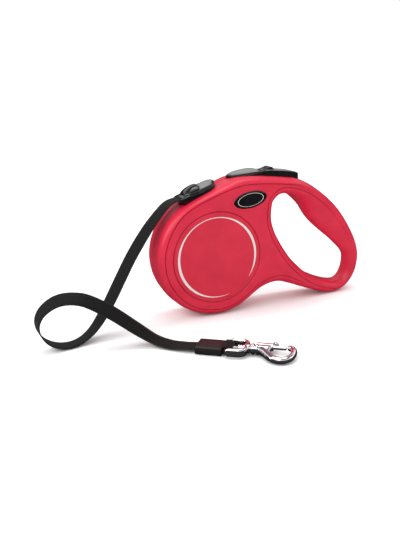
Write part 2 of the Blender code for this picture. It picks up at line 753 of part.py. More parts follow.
def webbing_loop(start):
    """The tape's end, folded round the bar of the eye."""
    bar, inner, thick = EYE[0], EYE[3] + GAP, 1.0
    outer = inner + thick
    bend = np.radians((90, 60, 30, 0, -30, -60, -90))
    outline = [(start, outer)]
    outline += [(bar + outer * math.cos(a), outer * math.sin(a)) for a in bend]
    outline += [(start, -outer), (start, -inner)]
    outline += [(bar + inner * math.cos(a), inner * math.sin(a)) for a in bend[::-1]]
    outline += [(start, inner)]
    loop = plate("webbing_loop", outline, -TAPE_W / 2, TAPE_W / 2, (0, 0, 0), "tape")
    loop.location = on_line(0) * MM
    loop.rotation_euler = (math.pi / 2, 0, LINE_TURN)


def swivel_eye():
    start, end, half, wire = EYE
    points = [(start, -half + 1.2, 0), (start, half - 1.2, 0)]
    points += [(start + 1.2, half, 0), (start + 5.0, half, 0)]
    for angle in np.radians((30, 50, 70, 90)):
        points.append((start + 5.0 + (end - start - 5.0) * math.sin(angle), half * math.cos(angle), 0))
    points += [(x, -y, z) for x, y, z in points[-2:3:-1]]
    points += [(start + 5.0, -half, 0), (start + 1.2, -half, 0)]
    eye = line_tube("swivel_eye", points, wire, "chrome", cyclic=True)
    bpy.context.view_layer.update()
    eye = to_mesh(eye)
    profile = ((0, 35.0), (2.6, 35.0), (3.1, 34.0), (3.1, 32.0), (2.0, 31.0), (0, 31.0))
    knuckle = line_turned("Knuckle", profile, None)
    boolean(eye, knuckle, "UNION")
    boolean(eye, line_turned("Pin bore", ((0, 36.0), (1.4, 36.0), (1.4, 32.8), (0, 32.8)), None))


HOOK_ARM = (
    (41.5, -0.8, 0.0), (44.0, -2.9, -0.3), (46.8, -6.2, -0.7), (50.0, -9.4, -1.1), (54.0, -11.1, -1.3),
    (57.8, -10.3, -1.2), (60.7, -7.2, -0.9), (61.9, -2.4, -0.4), (61.5, 1.8, 0.0), (60.0, 4.4, 0.0),
    (58.3, 5.1, 0.0), (57.3, 5.1, 0.0),
)


def hook():
    """The hook turns on the swivel's axis: a collar, a barrel that carries the bolt, and the round hook."""
    body = line_turned(
        "hook_body",
        ((0, 47.5), (2.6, 47.5), (2.9, 45.0), (2.9, 40.0), (3.4, 39.6), (3.4, 38.6), (2.6, 38.2),
         (2.6, 37.4), (3.5, 37.0), (3.5, 35.6), (3.0, 35.3), (1.1, 35.3), (1.1, 33.2), (0, 33.2)),
        "chrome",
    )
    bpy.context.view_layer.update()
    body = to_mesh(body)
    carrier = line_block("Carrier", (37.8, 0.0, LINE_Z - 2.3), (48.4, 7.0, LINE_Z + 2.3), None, 0.7)
    boolean(body, carrier, "UNION")
    arm = line_tube("Arm", HOOK_ARM, 2.2, None, resolution=1)
    bpy.context.view_layer.update()
    boolean(body, to_mesh(arm), "UNION")
    bore = line_turned("Bolt bore", ((0, 50.0), (1.6, 50.0), (1.6, 38.8), (0, 38.8)), None, side=4.6)
    boolean(body, bore)
    boolean(body, line_block("Knob slot", (42.6, 4.6, LINE_Z - 1.7), (50.0, 9.0, LINE_Z + 1.7), None, 0))


def bolt():
    """The thumb bolt, which closes the hook and slides back against its spring."""
    profile = ((0, 56.6), (0.9, 56.6), (1.3, 56.0), (1.3, 46.0), (0, 46.0))
    pin = line_turned("hook_bolt", profile, "chrome", side=4.6, steps=14)
    bpy.context.view_layer.update()
    pin = to_mesh(pin)
    knob = line_tube("Knob", [(49.0, 4.8, 0), (49.0, 7.6, 0), (49.0, 9.4, 0)], 1.3, None)
    bpy.context.view_layer.update()
    boolean(pin, to_mesh(knob), "UNION")
    helix("bolt_spring", on_line(42.7, 4.6), 3.0, 1.0, 0.2, 4, line_turn().to_euler())


def main():
    clear_scene()
    collection("Retractable leash")
    collection("Cutters")
    for side in (-1, 1):
        casing(side)
        trim(side)
    screws()
    reel()
    tape_guide()
    brake()
    free_tape()
    hook_line()


main()
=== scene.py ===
"""Looks of a retractable dog leash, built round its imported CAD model.

Each sub-assembly is a class that holds its sizes in millimetres, builds its meshes with modelling operators and
dresses them. Each finish is a frozen dataclass that makes one procedural material.
"""

from __future__ import annotations

import logging
import math
from collections.abc import Iterator, Sequence
from contextlib import contextmanager
from dataclasses import dataclass, field
from enum import Enum
from functools import cache

import bpy
import numpy as np
from mathutils import Matrix, Vector

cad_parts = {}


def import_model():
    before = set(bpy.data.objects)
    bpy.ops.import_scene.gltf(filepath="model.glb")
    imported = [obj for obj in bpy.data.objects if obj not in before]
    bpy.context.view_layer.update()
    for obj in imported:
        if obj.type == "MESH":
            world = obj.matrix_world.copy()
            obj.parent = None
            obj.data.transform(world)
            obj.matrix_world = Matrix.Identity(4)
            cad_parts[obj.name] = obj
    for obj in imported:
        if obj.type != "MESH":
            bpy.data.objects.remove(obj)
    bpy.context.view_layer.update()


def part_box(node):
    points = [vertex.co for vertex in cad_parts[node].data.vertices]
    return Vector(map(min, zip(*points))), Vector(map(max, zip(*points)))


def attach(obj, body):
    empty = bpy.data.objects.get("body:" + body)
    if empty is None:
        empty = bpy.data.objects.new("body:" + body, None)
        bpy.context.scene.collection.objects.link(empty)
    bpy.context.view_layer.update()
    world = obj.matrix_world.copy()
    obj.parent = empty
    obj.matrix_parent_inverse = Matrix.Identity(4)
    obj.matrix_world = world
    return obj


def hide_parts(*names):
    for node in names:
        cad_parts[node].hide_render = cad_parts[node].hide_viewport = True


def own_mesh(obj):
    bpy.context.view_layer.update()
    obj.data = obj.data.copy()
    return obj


log = logging.getLogger("leash")

MM = 0.001
GAP = 0.3
LEAST_LEFT = 0.9

Point = Sequence[float]


class Side(Enum):
    """A half of the casing: the front one faces -Y."""

    FRONT = -1
    REAR = 1


SIDES = ((Side.FRONT, "Front"), (Side.REAR, "Rear"))


class Cut(Enum):
    """What a Boolean does with its tool."""

    AWAY = "DIFFERENCE"
    JOIN = "UNION"


# ---------------------------------------------------------------- bench


class Bench:
    """The modelling bench: every piece is made here from a primitive, in millimetres round the drum's axis."""

    origin = Vector((0.0, 0.0, 0.0))

    @staticmethod
    def deselect() -> None:
        if bpy.context.object and bpy.context.object.mode != "OBJECT":
            bpy.ops.object.mode_set(mode="OBJECT")
        bpy.ops.object.select_all(action="DESELECT")

    @staticmethod
    def take(obj: bpy.types.Object) -> bpy.types.Object:
        """Makes obj the only selected object and the active one.

        Args:
            obj: The piece to work on.

        Returns:
            The same piece.
        """
        Bench.deselect()
        obj.select_set(True)
        bpy.context.view_layer.objects.active = obj
        return obj

    @staticmethod
    def settle(obj: bpy.types.Object, name: str) -> bpy.types.Object:
        """Names a piece and moves its place into its mesh.

        Args:
            obj: The piece.
            name: Its new name.

        Returns:
            The same piece, at the origin.
        """
        Bench.take(obj)
        obj.name = name
        obj.data.name = name
        bpy.ops.object.transform_apply(location=True, rotation=True, scale=True)
        return obj

    @staticmethod
    @contextmanager
    def editing(obj: bpy.types.Object) -> Iterator[None]:
        """Opens a piece in edit mode with all of it selected, and closes it again.

        Args:
            obj: The piece.

        Yields:
            Nothing.
        """
        Bench.take(obj)
        bpy.ops.object.mode_set(mode="EDIT")
        bpy.ops.mesh.select_all(action="SELECT")
        yield
        bpy.ops.object.mode_set(mode="OBJECT")

    @staticmethod
    def outward(obj: bpy.types.Object) -> bpy.types.Object:
        """Merges doubles and turns every face outwards.

        Args:
            obj: A closed piece.

        Returns:
            The same piece.
        """
        with Bench.editing(obj):
            bpy.ops.mesh.remove_doubles(threshold=1e-6)
            bpy.ops.mesh.normals_make_consistent(inside=False)
        return obj

    @staticmethod
    def smooth(obj: bpy.types.Object, angle: float = 32.0) -> bpy.types.Object:
        """Shades a piece smooth.

        Args:
            obj: The piece.
            angle: The sharpest edge that is smoothed across, in degrees.

        Returns:
            The same piece.
        """
        Bench.take(obj)
        bpy.ops.object.shade_smooth_by_angle(angle=math.radians(angle))
        return obj

    @staticmethod
    def finish_with(obj: bpy.types.Object, kind: str, **settings: object) -> bpy.types.Object:
        """Adds a modifier and applies it.

        Args:
            obj: The piece.
            kind: The modifier's type.
            **settings: Its properties.

        Returns:
            The same piece.
        """
        Bench.take(obj)
        modifier = obj.modifiers.new(kind.title(), kind)
        for key, value in settings.items():
            setattr(modifier, key, value)
        bpy.ops.object.modifier_apply(modifier=modifier.name)
        return obj

    @staticmethod
    def boolean(obj: bpy.types.Object, tool: bpy.types.Object, how: Cut = Cut.AWAY) -> bpy.types.Object:
        """Cuts a tool from a piece, or joins it, and removes the tool.

        Args:
            obj: The piece.
            tool: The closed shape to cut away or to join.
            how: Which of the two.

        Returns:
            The same piece.
        """
        least = LEAST_LEFT * max(obj.dimensions)
        Bench.finish_with(obj, "BOOLEAN", operation=how.value, solver="EXACT", object=tool)
        bpy.context.view_layer.update()
        if max(obj.dimensions) < least:
            raise RuntimeError(f"{tool.name} took away most of {obj.name}")
        bpy.data.objects.remove(tool)
        return obj

    @staticmethod
    def ring_loft(name: str, rings: np.ndarray) -> bpy.types.Object:
        """A torus primitive whose rings take the places given, so it closes both ways.

        Args:
            name: The piece's name.
            rings: Places in millimetres from the drum's axis, as (ring, point, xyz).

        Returns:
            The closed piece.
        """
        Bench.deselect()
        count, size, _ = rings.shape
        bpy.ops.mesh.primitive_torus_add(major_segments=count, minor_segments=size, generate_uvs=False)
        obj = bpy.context.object
        Bench.place(obj, rings)
        return Bench.outward(Bench.settle(obj, name))

    @staticmethod
    def tube_loft(name: str, rings: np.ndarray) -> bpy.types.Object:
        """A grid primitive rolled up through the rings given, with both ends filled.

        Args:
            name: The piece's name.
            rings: Places in millimetres from the drum's axis, as (ring, point, xyz).

        Returns:
            The closed piece.
        """
        Bench.deselect()
        rolled = np.concatenate([rings, rings[:, :1]], axis=1)
        count, size, _ = rolled.shape
        bpy.ops.mesh.primitive_grid_add(x_subdivisions=size - 1, y_subdivisions=count - 1, calc_uvs=False)
        obj = bpy.context.object
        Bench.place(obj, rolled)
        with Bench.editing(obj):
            bpy.ops.mesh.remove_doubles(threshold=1e-7)
            bpy.ops.mesh.select_all(action="SELECT")
            bpy.ops.mesh.fill_holes(sides=0)
        return Bench.outward(Bench.settle(obj, name))

    @staticmethod
    def place(obj: bpy.types.Object, places: np.ndarray) -> None:
        """Moves a primitive's vertices.

        Args:
            obj: The primitive.
            places: Where each vertex goes, in millimetres from the drum's axis.
        """
        world = (places.reshape(-1, 3) * MM + np.array(Bench.origin)).astype(np.float32)
        obj.location = (0.0, 0.0, 0.0)
        obj.data.vertices.foreach_set("co", world.ravel())
        obj.data.update()

    @staticmethod
    def at(x: float, y: float, z: float) -> Vector:
        """A place in metres from millimetres measured from the drum's axis."""
        return Bench.origin + Vector((x, y, z)) * MM

    @staticmethod
    def rod(
        name: str, place: Point, radius: float, depth: float, sides: int = 48, top: float = -1.0
    ) -> bpy.types.Object:
        """A cylinder or cone along Y.

        Args:
            name: The piece's name.
            place: Its middle, in millimetres from the drum's axis.
            radius: Its radius at the -Y end, or all along.
            depth: Its length.
            sides: How many sides it has.
            top: Its radius at the +Y end, or below zero for the same radius.

        Returns:
            The piece.
        """
        Bench.deselect()
        bpy.ops.mesh.primitive_cone_add(
            vertices=sides,
            radius1=(radius if top < 0 else top) * MM,
            radius2=radius * MM,
            depth=depth * MM,
            location=Bench.at(*place),
            rotation=(math.pi / 2, 0, 0),
        )
        return Bench.settle(bpy.context.object, name)

    @staticmethod
    def block(name: str, low: Point, high: Point) -> bpy.types.Object:
        """A box between two corners.

        Args:
            name: The piece's name.
            low: Its lowest x, y and z, in millimetres from the drum's axis.
            high: Its highest x, y and z.

        Returns:
            The box.
        """
        Bench.deselect()
        middle = (Vector(low) + Vector(high)) / 2
        bpy.ops.mesh.primitive_cube_add(size=1.0, location=Bench.at(*middle))
        obj = bpy.context.object
        obj.scale = (Vector(high) - Vector(low)) * MM
        return Bench.settle(obj, name)

    @staticmethod
    def slab(name: str, outline: Sequence[Point], low: float, high: float) -> bpy.types.Object:
        """A filled outline in X and Z, extruded along Y.

        Args:
            name: The piece's name.
            outline: The (x, z) points in millimetres from the drum's axis.
            low: Where it starts along Y.
            high: Where it ends.

        Returns:
            The piece.
        """
        Bench.deselect()
        bpy.ops.mesh.primitive_circle_add(vertices=len(outline), fill_type="NGON", calc_uvs=False)
        obj = bpy.context.object
        Bench.place(obj, np.array([(x, low, z) for x, z in outline]))
        with Bench.editing(obj):
            move = {"value": (0, (high - low) * MM, 0)}
            bpy.ops.mesh.extrude_region_move(TRANSFORM_OT_translate=move)
        return Bench.outward(Bench.settle(obj, name))

    @staticmethod
    def dress(
        obj: bpy.types.Object, finish: "Finish", body: str, slot: str, *replaced: str, smooth: float = 0.0
    ) -> bpy.types.Object:
        """Gives a piece its material and its body, and hides the CAD nodes that it stands for.

        Args:
            obj: The piece.
            finish: What it is made of.
            body: The body it rides on.
            slot: Not used.
            *replaced: The CAD nodes that it stands for.
            smooth: The sharpest edge that is smoothed across, in degrees, or 0 to leave the shading.

        Returns:
            The same piece.
        """
        if smooth:
            Bench.smooth(obj, smooth)
        obj.data.materials.clear()
        obj.data.materials.append(finish.material())
        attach(obj, body)
        if replaced:
            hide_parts(*replaced)
        log.info("%s rides on %s, %d faces", obj.name, body, len(obj.data.polygons))
        return obj


def spline(points: Sequence[Point], steps: int, closed: bool = False) -> np.ndarray:
    """A smooth curve through the points.

    Args:
        points: Places of any number of columns.
        steps: How many stretches each gap between two points gets.
        closed: Whether the last point leads back to the first.

    Returns:
        The places along it, one row each.
    """
    table = np.array(points, float)
    if closed:
        table = np.concatenate([table[-1:], table, table[:2]])
    else:
        table = np.concatenate([2 * table[:1] - table[1:2], table, 2 * table[-1:] - table[-2:-1]])
    found = []
    for a, b, c, d in zip(table, table[1:], table[2:], table[3:]):
        for t in np.arange(steps) / steps:
            cubic = (3 * b - a - 3 * c + d) * t**3
            found.append(0.5 * (2 * b + (c - a) * t + (2 * a - 5 * b + 4 * c - d) * t * t + cubic))
    if not closed:
        found.append(table[-2])
    return np.array(found)


def sideways(loop: np.ndarray) -> np.ndarray:
    """Unit normals of a closed loop.

    Args:
        loop: Its (x, z) points.

    Returns:
        One normal a point, to the right of the loop's travel.
    """
    along = np.roll(loop, -1, axis=0) - np.roll(loop, 1, axis=0)
    along /= np.linalg.norm(along, axis=1)[:, None]
    return np.stack([along[:, 1], -along[:, 0]], axis=1)


# ---------------------------------------------------------------- finishes


class Wiring:
    """A node tree being wired, with its nodes laid out from left to right."""

    def __init__(self, tree: bpy.types.NodeTree) -> None:
        """Keeps the tree."""
        self.tree = tree
        self.column = 0

    def node(self, kind: str, **settings: object) -> bpy.types.Node:
        """Adds a node.

        Args:
            kind: The node's type name.
            **settings: Its properties, and input_NAME for a socket's value.

        Returns:
            The node.
        """
        made = self.tree.nodes.new(kind)
        made.location = (self.column * 190, 0)
        self.column += 1
        for key, value in settings.items():
            if key.startswith("input_"):
                made.inputs[key[6:].replace("_", " ")].default_value = value
            else:
                setattr(made, key, value)
        return made

    def link(self, source: bpy.types.NodeSocket, target: bpy.types.NodeSocket) -> None:
        """Joins an output to an input."""
        self.tree.links.new(source, target)

    def maths(self, how: str, first: object, second: object = 0.5) -> bpy.types.NodeSocket:
        """A Math node of two values or sockets.

        Args:
            how: The operation.
            first: A socket or a number.
            second: A socket or a number.

        Returns:
            Its output.
        """
        made = self.node("ShaderNodeMath", operation=how)
        for socket, value in zip(made.inputs, (first, second)):
            if isinstance(value, bpy.types.NodeSocket):
                self.link(value, socket)
            else:
                socket.default_value = value
        return made.outputs[0]

    def ramp(
        self, source: bpy.types.NodeSocket, low: float, high: float, first: float, last: float
    ) -> bpy.types.NodeSocket:
        """Maps one range of a value to another.

        Args:
            source: The value.
            low: Where its range starts.
            high: Where its range ends.
            first: What low becomes.
            last: What high becomes.

        Returns:
            The mapped value.
        """
        made = self.node("ShaderNodeMapRange")
        self.link(source, made.inputs["Value"])
        for key, value in zip(("From Min", "From Max", "To Min", "To Max"), (low, high, first, last)):
            made.inputs[key].default_value = value
        return made.outputs["Result"]

    def mix(self, factor: bpy.types.NodeSocket, first: object, last: object) -> bpy.types.NodeSocket:
        """A colour between two others.

        Args:
            factor: The mask.
            first: The colour, or its socket, at 0.
            last: The colour, or its socket, at 1.

        Returns:
            The mixed colour.
        """
        made = self.node("ShaderNodeMix", data_type="RGBA")
        self.link(factor, made.inputs["Factor"])
        for key, colour in (("A", first), ("B", last)):
            if isinstance(colour, bpy.types.NodeSocket):
                self.link(colour, made.inputs[key])
            else:
                made.inputs[key].default_value = (*colour, 1.0)
        return made.outputs["Result"]


def new_group(name: str, inputs: dict[str, float], outputs: Sequence[str]) -> bpy.types.NodeTree:
    """A shader node group with a Vector input, named number inputs and named number outputs.

    Args:
        name: The group's name.
        inputs: Each number input with its usual value.
        outputs: The outputs' names.

    Returns:
        The empty group, with its input and output nodes.
    """
    group = bpy.data.node_groups.new(name, "ShaderNodeTree")
    group.interface.new_socket("Vector", in_out="INPUT", socket_type="NodeSocketVector")
    for key, value in inputs.items():
        socket = group.interface.new_socket(key, in_out="INPUT", socket_type="NodeSocketFloat")
        socket.default_value = value
    for key in outputs:
        group.interface.new_socket(key, in_out="OUTPUT", socket_type="NodeSocketFloat")
    group.nodes.new("NodeGroupInput")
    group.nodes.new("NodeGroupOutput")
    return group


@cache
def grain_group() -> bpy.types.NodeTree:
    """Spark-eroded grain of a mould: a height, and a slow variation of the surface.

    Returns:
        The group, built on the first call.
    """
    group = new_group("Moulded grain", {"Grain scale": 3500.0, "Cloud scale": 60.0}, ("Height", "Cloud"))
    wires = Wiring(group)
    start, end = group.nodes["Group Input"], group.nodes["Group Output"]
    fine = wires.node("ShaderNodeTexNoise", input_Detail=3.0, input_Roughness=0.6)
    cells = wires.node("ShaderNodeTexVoronoi", feature="SMOOTH_F1")
    slow = wires.node("ShaderNodeTexNoise", input_Detail=4.0, input_Roughness=0.55)
    for texture, scale in ((fine, "Grain scale"), (cells, "Grain scale"), (slow, "Cloud scale")):
        wires.link(start.outputs["Vector"], texture.inputs["Vector"])
        wires.link(start.outputs[scale], texture.inputs["Scale"])
    height = wires.maths("MULTIPLY", fine.outputs["Fac"], cells.outputs["Distance"])
    wires.link(height, end.inputs["Height"])
    wires.link(slow.outputs["Fac"], end.inputs["Cloud"])
    return group


@cache
def wear_group() -> bpy.types.NodeTree:
    """Handling marks: a mask of soft smudges and one of hairline scratches.

    Returns:
        The group, built on the first call.
    """
    group = new_group("Handling marks", {"Smudge scale": 45.0, "Scratch scale": 220.0}, ("Smudges", "Scratches"))
    wires = Wiring(group)
    start, end = group.nodes["Group Input"], group.nodes["Group Output"]
    smudge = wires.node("ShaderNodeTexNoise", input_Detail=5.0, input_Roughness=0.5, input_Distortion=0.6)
    wires.link(start.outputs["Vector"], smudge.inputs["Vector"])
    wires.link(start.outputs["Smudge scale"], smudge.inputs["Scale"])
    wires.link(wires.ramp(smudge.outputs["Fac"], 0.45, 0.7, 0.0, 1.0), end.inputs["Smudges"])
    stretched = wires.node("ShaderNodeMapping", input_Scale=(1.0, 1.0, 0.03), input_Rotation=(0.5, 0.2, 0.8))
    wires.link(start.outputs["Vector"], stretched.inputs["Vector"])
    hair = wires.node("ShaderNodeTexNoise", input_Detail=1.0)
    wires.link(stretched.outputs["Vector"], hair.inputs["Vector"])
    wires.link(start.outputs["Scratch scale"], hair.inputs["Scale"])
    wires.link(wires.ramp(hair.outputs["Fac"], 0.66, 0.72, 0.0, 1.0), end.inputs["Scratches"])
    return group


@cache
def weave_group() -> bpy.types.NodeTree:
    """Plain weave on a UV map, u across the tape and v along it in tape widths.

    Returns:
        The group, built on the first call.
    """
    inputs = {"Warp ends": 26.0, "Weft picks": 22.0, "Selvedge": 0.44}
    group = new_group("Tape weave", inputs, ("Height", "Shade", "Edge"))
    wires = Wiring(group)
    start, end = group.nodes["Group Input"], group.nodes["Group Output"]
    parts = wires.node("ShaderNodeSeparateXYZ")
    wires.link(start.outputs["Vector"], parts.inputs[0])
    across = wires.maths("MULTIPLY", parts.outputs["X"], start.outputs["Warp ends"])
    along = wires.maths("MULTIPLY", parts.outputs["Y"], start.outputs["Weft picks"])
    column = wires.maths("FLOOR", across)
    shifted = wires.maths("ADD", along, wires.maths("MULTIPLY", column, 0.5))
    warp = wires.maths("ABSOLUTE", wires.maths("SINE", wires.maths("MULTIPLY", across, math.pi)))
    weft = wires.maths("ABSOLUTE", wires.maths("SINE", wires.maths("MULTIPLY", shifted, math.pi)))
    height = wires.maths("MULTIPLY", wires.maths("POWER", warp, 0.5), wires.maths("POWER", weft, 0.6))
    wires.link(height, end.inputs["Height"])
    # Shade masks a painted highlight on the raised threads, broken up by noise.
    fuzz = wires.node("ShaderNodeTexNoise", input_Scale=9.0, input_Detail=4.0)
    wires.link(start.outputs["Vector"], fuzz.inputs["Vector"])
    wires.link(wires.maths("MULTIPLY", height, fuzz.outputs["Fac"]), end.inputs["Shade"])
    offset = wires.maths("ABSOLUTE", wires.maths("SUBTRACT", parts.outputs["X"], 0.5))
    edge = wires.maths("GREATER_THAN", offset, start.outputs["Selvedge"])
    wires.link(edge, end.inputs["Edge"])
    return group


@dataclass(frozen=True)
class Finish:
    """A surface: its own node tree is built by its subclass."""

    name: str
    colour: tuple[float, float, float] = (0.5, 0.5, 0.5)
    roughness: float = 0.4

    def material(self) -> bpy.types.Material:
        """The material, built on the first call.

        Returns:
            The material of this finish.
        """
        found = bpy.data.materials.get(self.name)
        if found:
            return found
        made = bpy.data.materials.new(self.name)
        made.use_nodes = True
        made.diffuse_color = (*self.colour, 1.0)
        shader = made.node_tree.nodes["Principled BSDF"]
        shader.inputs["Roughness"].default_value = self.roughness
        self.wire(Wiring(made.node_tree), shader)
        return made

    def wire(self, wires: Wiring, shader: bpy.types.Node) -> None:
        """Builds the nodes in front of the shader."""
        shader.inputs["Base Color"].default_value = (*self.colour, 1.0)

    def group(self, wires: Wiring, tree: bpy.types.NodeTree, coordinates: str = "Object") -> bpy.types.Node:
        """Places a node group and feeds it coordinates.

        Args:
            wires: The material's wiring.
            tree: The group.
            coordinates: The Texture Coordinate output to use.

        Returns:
            The group's node.
        """
        source = wires.node("ShaderNodeTexCoord")
        made = wires.node("ShaderNodeGroup")
        made.node_tree = tree
        wires.link(source.outputs[coordinates], made.inputs["Vector"])
        return made

    def bump(
        self, wires: Wiring, shader: bpy.types.Node, height: bpy.types.NodeSocket, depth: float, strength: float
    ) -> None:
        """Feeds a height to the shader's normal.

        Args:
            wires: The material's wiring.
            shader: The shader.
            height: The height, from 0 to 1.
            depth: How deep 1 is, in metres.
            strength: How strongly it shows.
        """
        made = wires.node("ShaderNodeBump")
        made.inputs["Strength"].default_value = strength
        made.inputs["Distance"].default_value = depth
        wires.link(height, made.inputs["Height"])
        wires.link(made.outputs["Normal"], shader.inputs["Normal"])


@dataclass(frozen=True)
class Moulded(Finish):
    """Injection-moulded plastic with a fine grain, slow clouding and light handling marks."""

    grain: float = 3200.0
    depth: float = 0.00002
    strength: float = 0.25
    coat: float = 0.0
    clouding: float = 0.08

    def wire(self, wires: Wiring, shader: bpy.types.Node) -> None:
        """Builds the nodes in front of the shader.

        Args:
            wires: The material's wiring.
            shader: Its shader.
        """
        shader.inputs["IOR"].default_value = 1.49
        shader.inputs["Coat Weight"].default_value = self.coat
        shader.inputs["Coat Roughness"].default_value = 0.06
        grain = self.group(wires, grain_group())
        grain.inputs["Grain scale"].default_value = self.grain
        marks = self.group(wires, wear_group())
        deep = [value * (1 - self.clouding) for value in self.colour]
        light = [min(1.0, value * (1 + self.clouding) + 0.004) for value in self.colour]
        cloud = wires.ramp(grain.outputs["Cloud"], 0.3, 0.7, 0.0, 1.0)
        wires.link(wires.mix(cloud, deep, light), shader.inputs["Base Color"])
        smudged = wires.ramp(marks.outputs["Smudges"], 0.0, 1.0, self.roughness, self.roughness * 1.14)
        scratched = wires.maths("ADD", smudged, wires.maths("MULTIPLY", marks.outputs["Scratches"], 0.03))
        wires.link(scratched, shader.inputs["Roughness"])
        self.bump(wires, shader, grain.outputs["Height"], self.depth, self.strength)


@dataclass(frozen=True)
class Plated(Finish):
    """Polished or drawn metal with soft smudges and hairlines."""

    ripple: float = 0.05

    def wire(self, wires: Wiring, shader: bpy.types.Node) -> None:
        """Builds the nodes in front of the shader.

        Args:
            wires: The material's wiring.
            shader: Its shader.
        """
        shader.inputs["Metallic"].default_value = 1.0
        marks = self.group(wires, wear_group())
        dull = [value * 0.93 for value in self.colour]
        wires.link(wires.mix(marks.outputs["Smudges"], self.colour, dull), shader.inputs["Base Color"])
        rough = wires.ramp(marks.outputs["Smudges"], 0.0, 1.0, self.roughness, self.roughness + 0.05)
        rough = wires.maths("ADD", rough, wires.maths("MULTIPLY", marks.outputs["Scratches"], 0.08))
        wires.link(rough, shader.inputs["Roughness"])
        grain = self.group(wires, grain_group())
        grain.inputs["Grain scale"].default_value = 500.0
        self.bump(wires, shader, grain.outputs["Cloud"], 0.0004, self.ripple)


@dataclass(frozen=True)
class Woven(Finish):
    """Woven nylon tape on the piece's own UV map, with a painted highlight on its raised threads."""

    lit: tuple[float, float, float] = (0.05, 0.05, 0.05)
    ends: float = 26.0
    picks: float = 22.0

    def wire(self, wires: Wiring, shader: bpy.types.Node) -> None:
        """Builds the nodes in front of the shader.

        Args:
            wires: The material's wiring.
            shader: Its shader.
        """
        shader.inputs["Sheen Weight"].default_value = 0.06
        shader.inputs["Sheen Roughness"].default_value = 0.4
        shader.inputs["Specular IOR Level"].default_value = 0.16
        weave = self.group(wires, weave_group(), "UV")
        weave.inputs["Warp ends"].default_value = self.ends
        weave.inputs["Weft picks"].default_value = self.picks
        # Painted highlight: the raised threads take the lighter lit colour; the selvedges get a colour a quarter
        # lighter still.
        shade = wires.ramp(weave.outputs["Shade"], 0.0, 0.55, 0.0, 1.0)
        body = wires.mix(shade, self.colour, self.lit)
        edge = [value * 1.25 for value in self.lit]
        wires.link(wires.mix(weave.outputs["Edge"], body, edge), shader.inputs["Base Color"])
        rough = wires.ramp(weave.outputs["Height"], 0.0, 1.0, 0.75, self.roughness)
        wires.link(rough, shader.inputs["Roughness"])
        self.bump(wires, shader, weave.outputs["Height"], 0.00012, 0.8)


@dataclass(frozen=True)
class Wound(Finish):
    """The edges of a wound reel of tape: fine rings round the drum's axis."""

    middle: tuple[float, float, float] = (0.0, 0.0, 0.0)

    def wire(self, wires: Wiring, shader: bpy.types.Node) -> None:
        """Builds the nodes in front of the shader.

        Args:
            wires: The material's wiring.
            shader: Its shader.
        """
        source = wires.node("ShaderNodeTexCoord")
        centred = wires.node("ShaderNodeMapping")
        centred.inputs["Location"].default_value = [-value for value in self.middle]
        wires.link(source.outputs["Object"], centred.inputs["Vector"])
        rings = wires.node("ShaderNodeTexWave", wave_type="RINGS", rings_direction="Y")
        rings.inputs["Scale"].default_value = 420.0
        rings.inputs["Distortion"].default_value = 0.6
        wires.link(centred.outputs["Vector"], rings.inputs["Vector"])
        light = [value * 3.0 for value in self.colour]
        wires.link(wires.mix(rings.outputs["Fac"], self.colour, light), shader.inputs["Base Color"])
        self.bump(wires, shader, rings.outputs["Fac"], 0.0002, 0.5)


RED = Moulded("Satin red casing", (0.575, 0.0065, 0.037), 0.34)
RED_DISC = Moulded("Satin red disc", (0.565, 0.0035, 0.031), 0.42, grain=4200.0)
BLACK = Moulded("Satin black moulding", (0.012, 0.013, 0.012), 0.34, grain=2600.0)
BLACK_GLOSS = Moulded("Polished black moulding", (0.004, 0.004, 0.005), 0.07, strength=0.02, coat=0.3)
BLACK_GLOSS_SOFT = Moulded("Glossy black button", (0.005, 0.005, 0.0055), 0.2, strength=0.06, coat=0.2)
GREY_PAD = Moulded("Soft grey pad", (0.19, 0.195, 0.185), 0.5, grain=1500.0, strength=0.5)
SLEEVE = Moulded("Grained black sleeve", (0.009, 0.006, 0.0058), 0.5, grain=1800.0, strength=0.4)
PRINT = Moulded("Silver print", (0.62, 0.60, 0.57), 0.3, strength=0.05, clouding=0.05)
CHROME = Plated("Chrome plate", (0.86, 0.86, 0.88), 0.05)
STEEL = Plated("Plain steel", (0.5, 0.51, 0.53), 0.3)
BRASS = Plated("Plain brass", (0.72, 0.53, 0.25), 0.3)
ACETAL = Moulded("Natural acetal", (0.72, 0.71, 0.67), 0.42)
# lit is the colour of the painted highlight on the tape's raised threads.
TAPE = Woven(
    "Woven black tape", (0.0005, 0.0005, 0.0005), 0.62, lit=(0.0085, 0.0092, 0.0092), ends=13.0, picks=10.0
)


# ---------------------------------------------------------------- camera and studio


@dataclass
class Viewpoint:
    """The camera: its place in metres, and how it is turned in degrees."""

    place: tuple[float, float, float] = (-0.1994, -0.4251, 0.1683)
    azimuth: float = 19.66
    pitch: float = 17.29
    roll: float = -2.51
    lens: float = 42.545

    def build(self) -> bpy.types.Object:
        """Makes the camera and shows the scene through it.

        Returns:
            The camera.
        """
        Bench.deselect()
        bpy.ops.object.camera_add(location=self.place)
        camera = bpy.context.object
        turn, tip, roll = (math.radians(value) for value in (self.azimuth, self.pitch, self.roll))
        ahead = Vector((math.sin(turn) * math.cos(tip), math.cos(turn) * math.cos(tip), -math.sin(tip)))
        level = Vector((math.cos(turn), -math.sin(turn), 0.0))
        rise = level.cross(ahead)
        right = math.cos(roll) * level + math.sin(roll) * rise
        up = -math.sin(roll) * level + math.cos(roll) * rise
        camera.matrix_world = Matrix.Translation(self.place) @ Matrix((right, up, -ahead)).transposed().to_4x4()
        camera.data.lens = self.lens
        camera.data.sensor_width = 36.0
        camera.data.clip_start = 0.01
        bpy.context.scene.camera = camera
        return camera


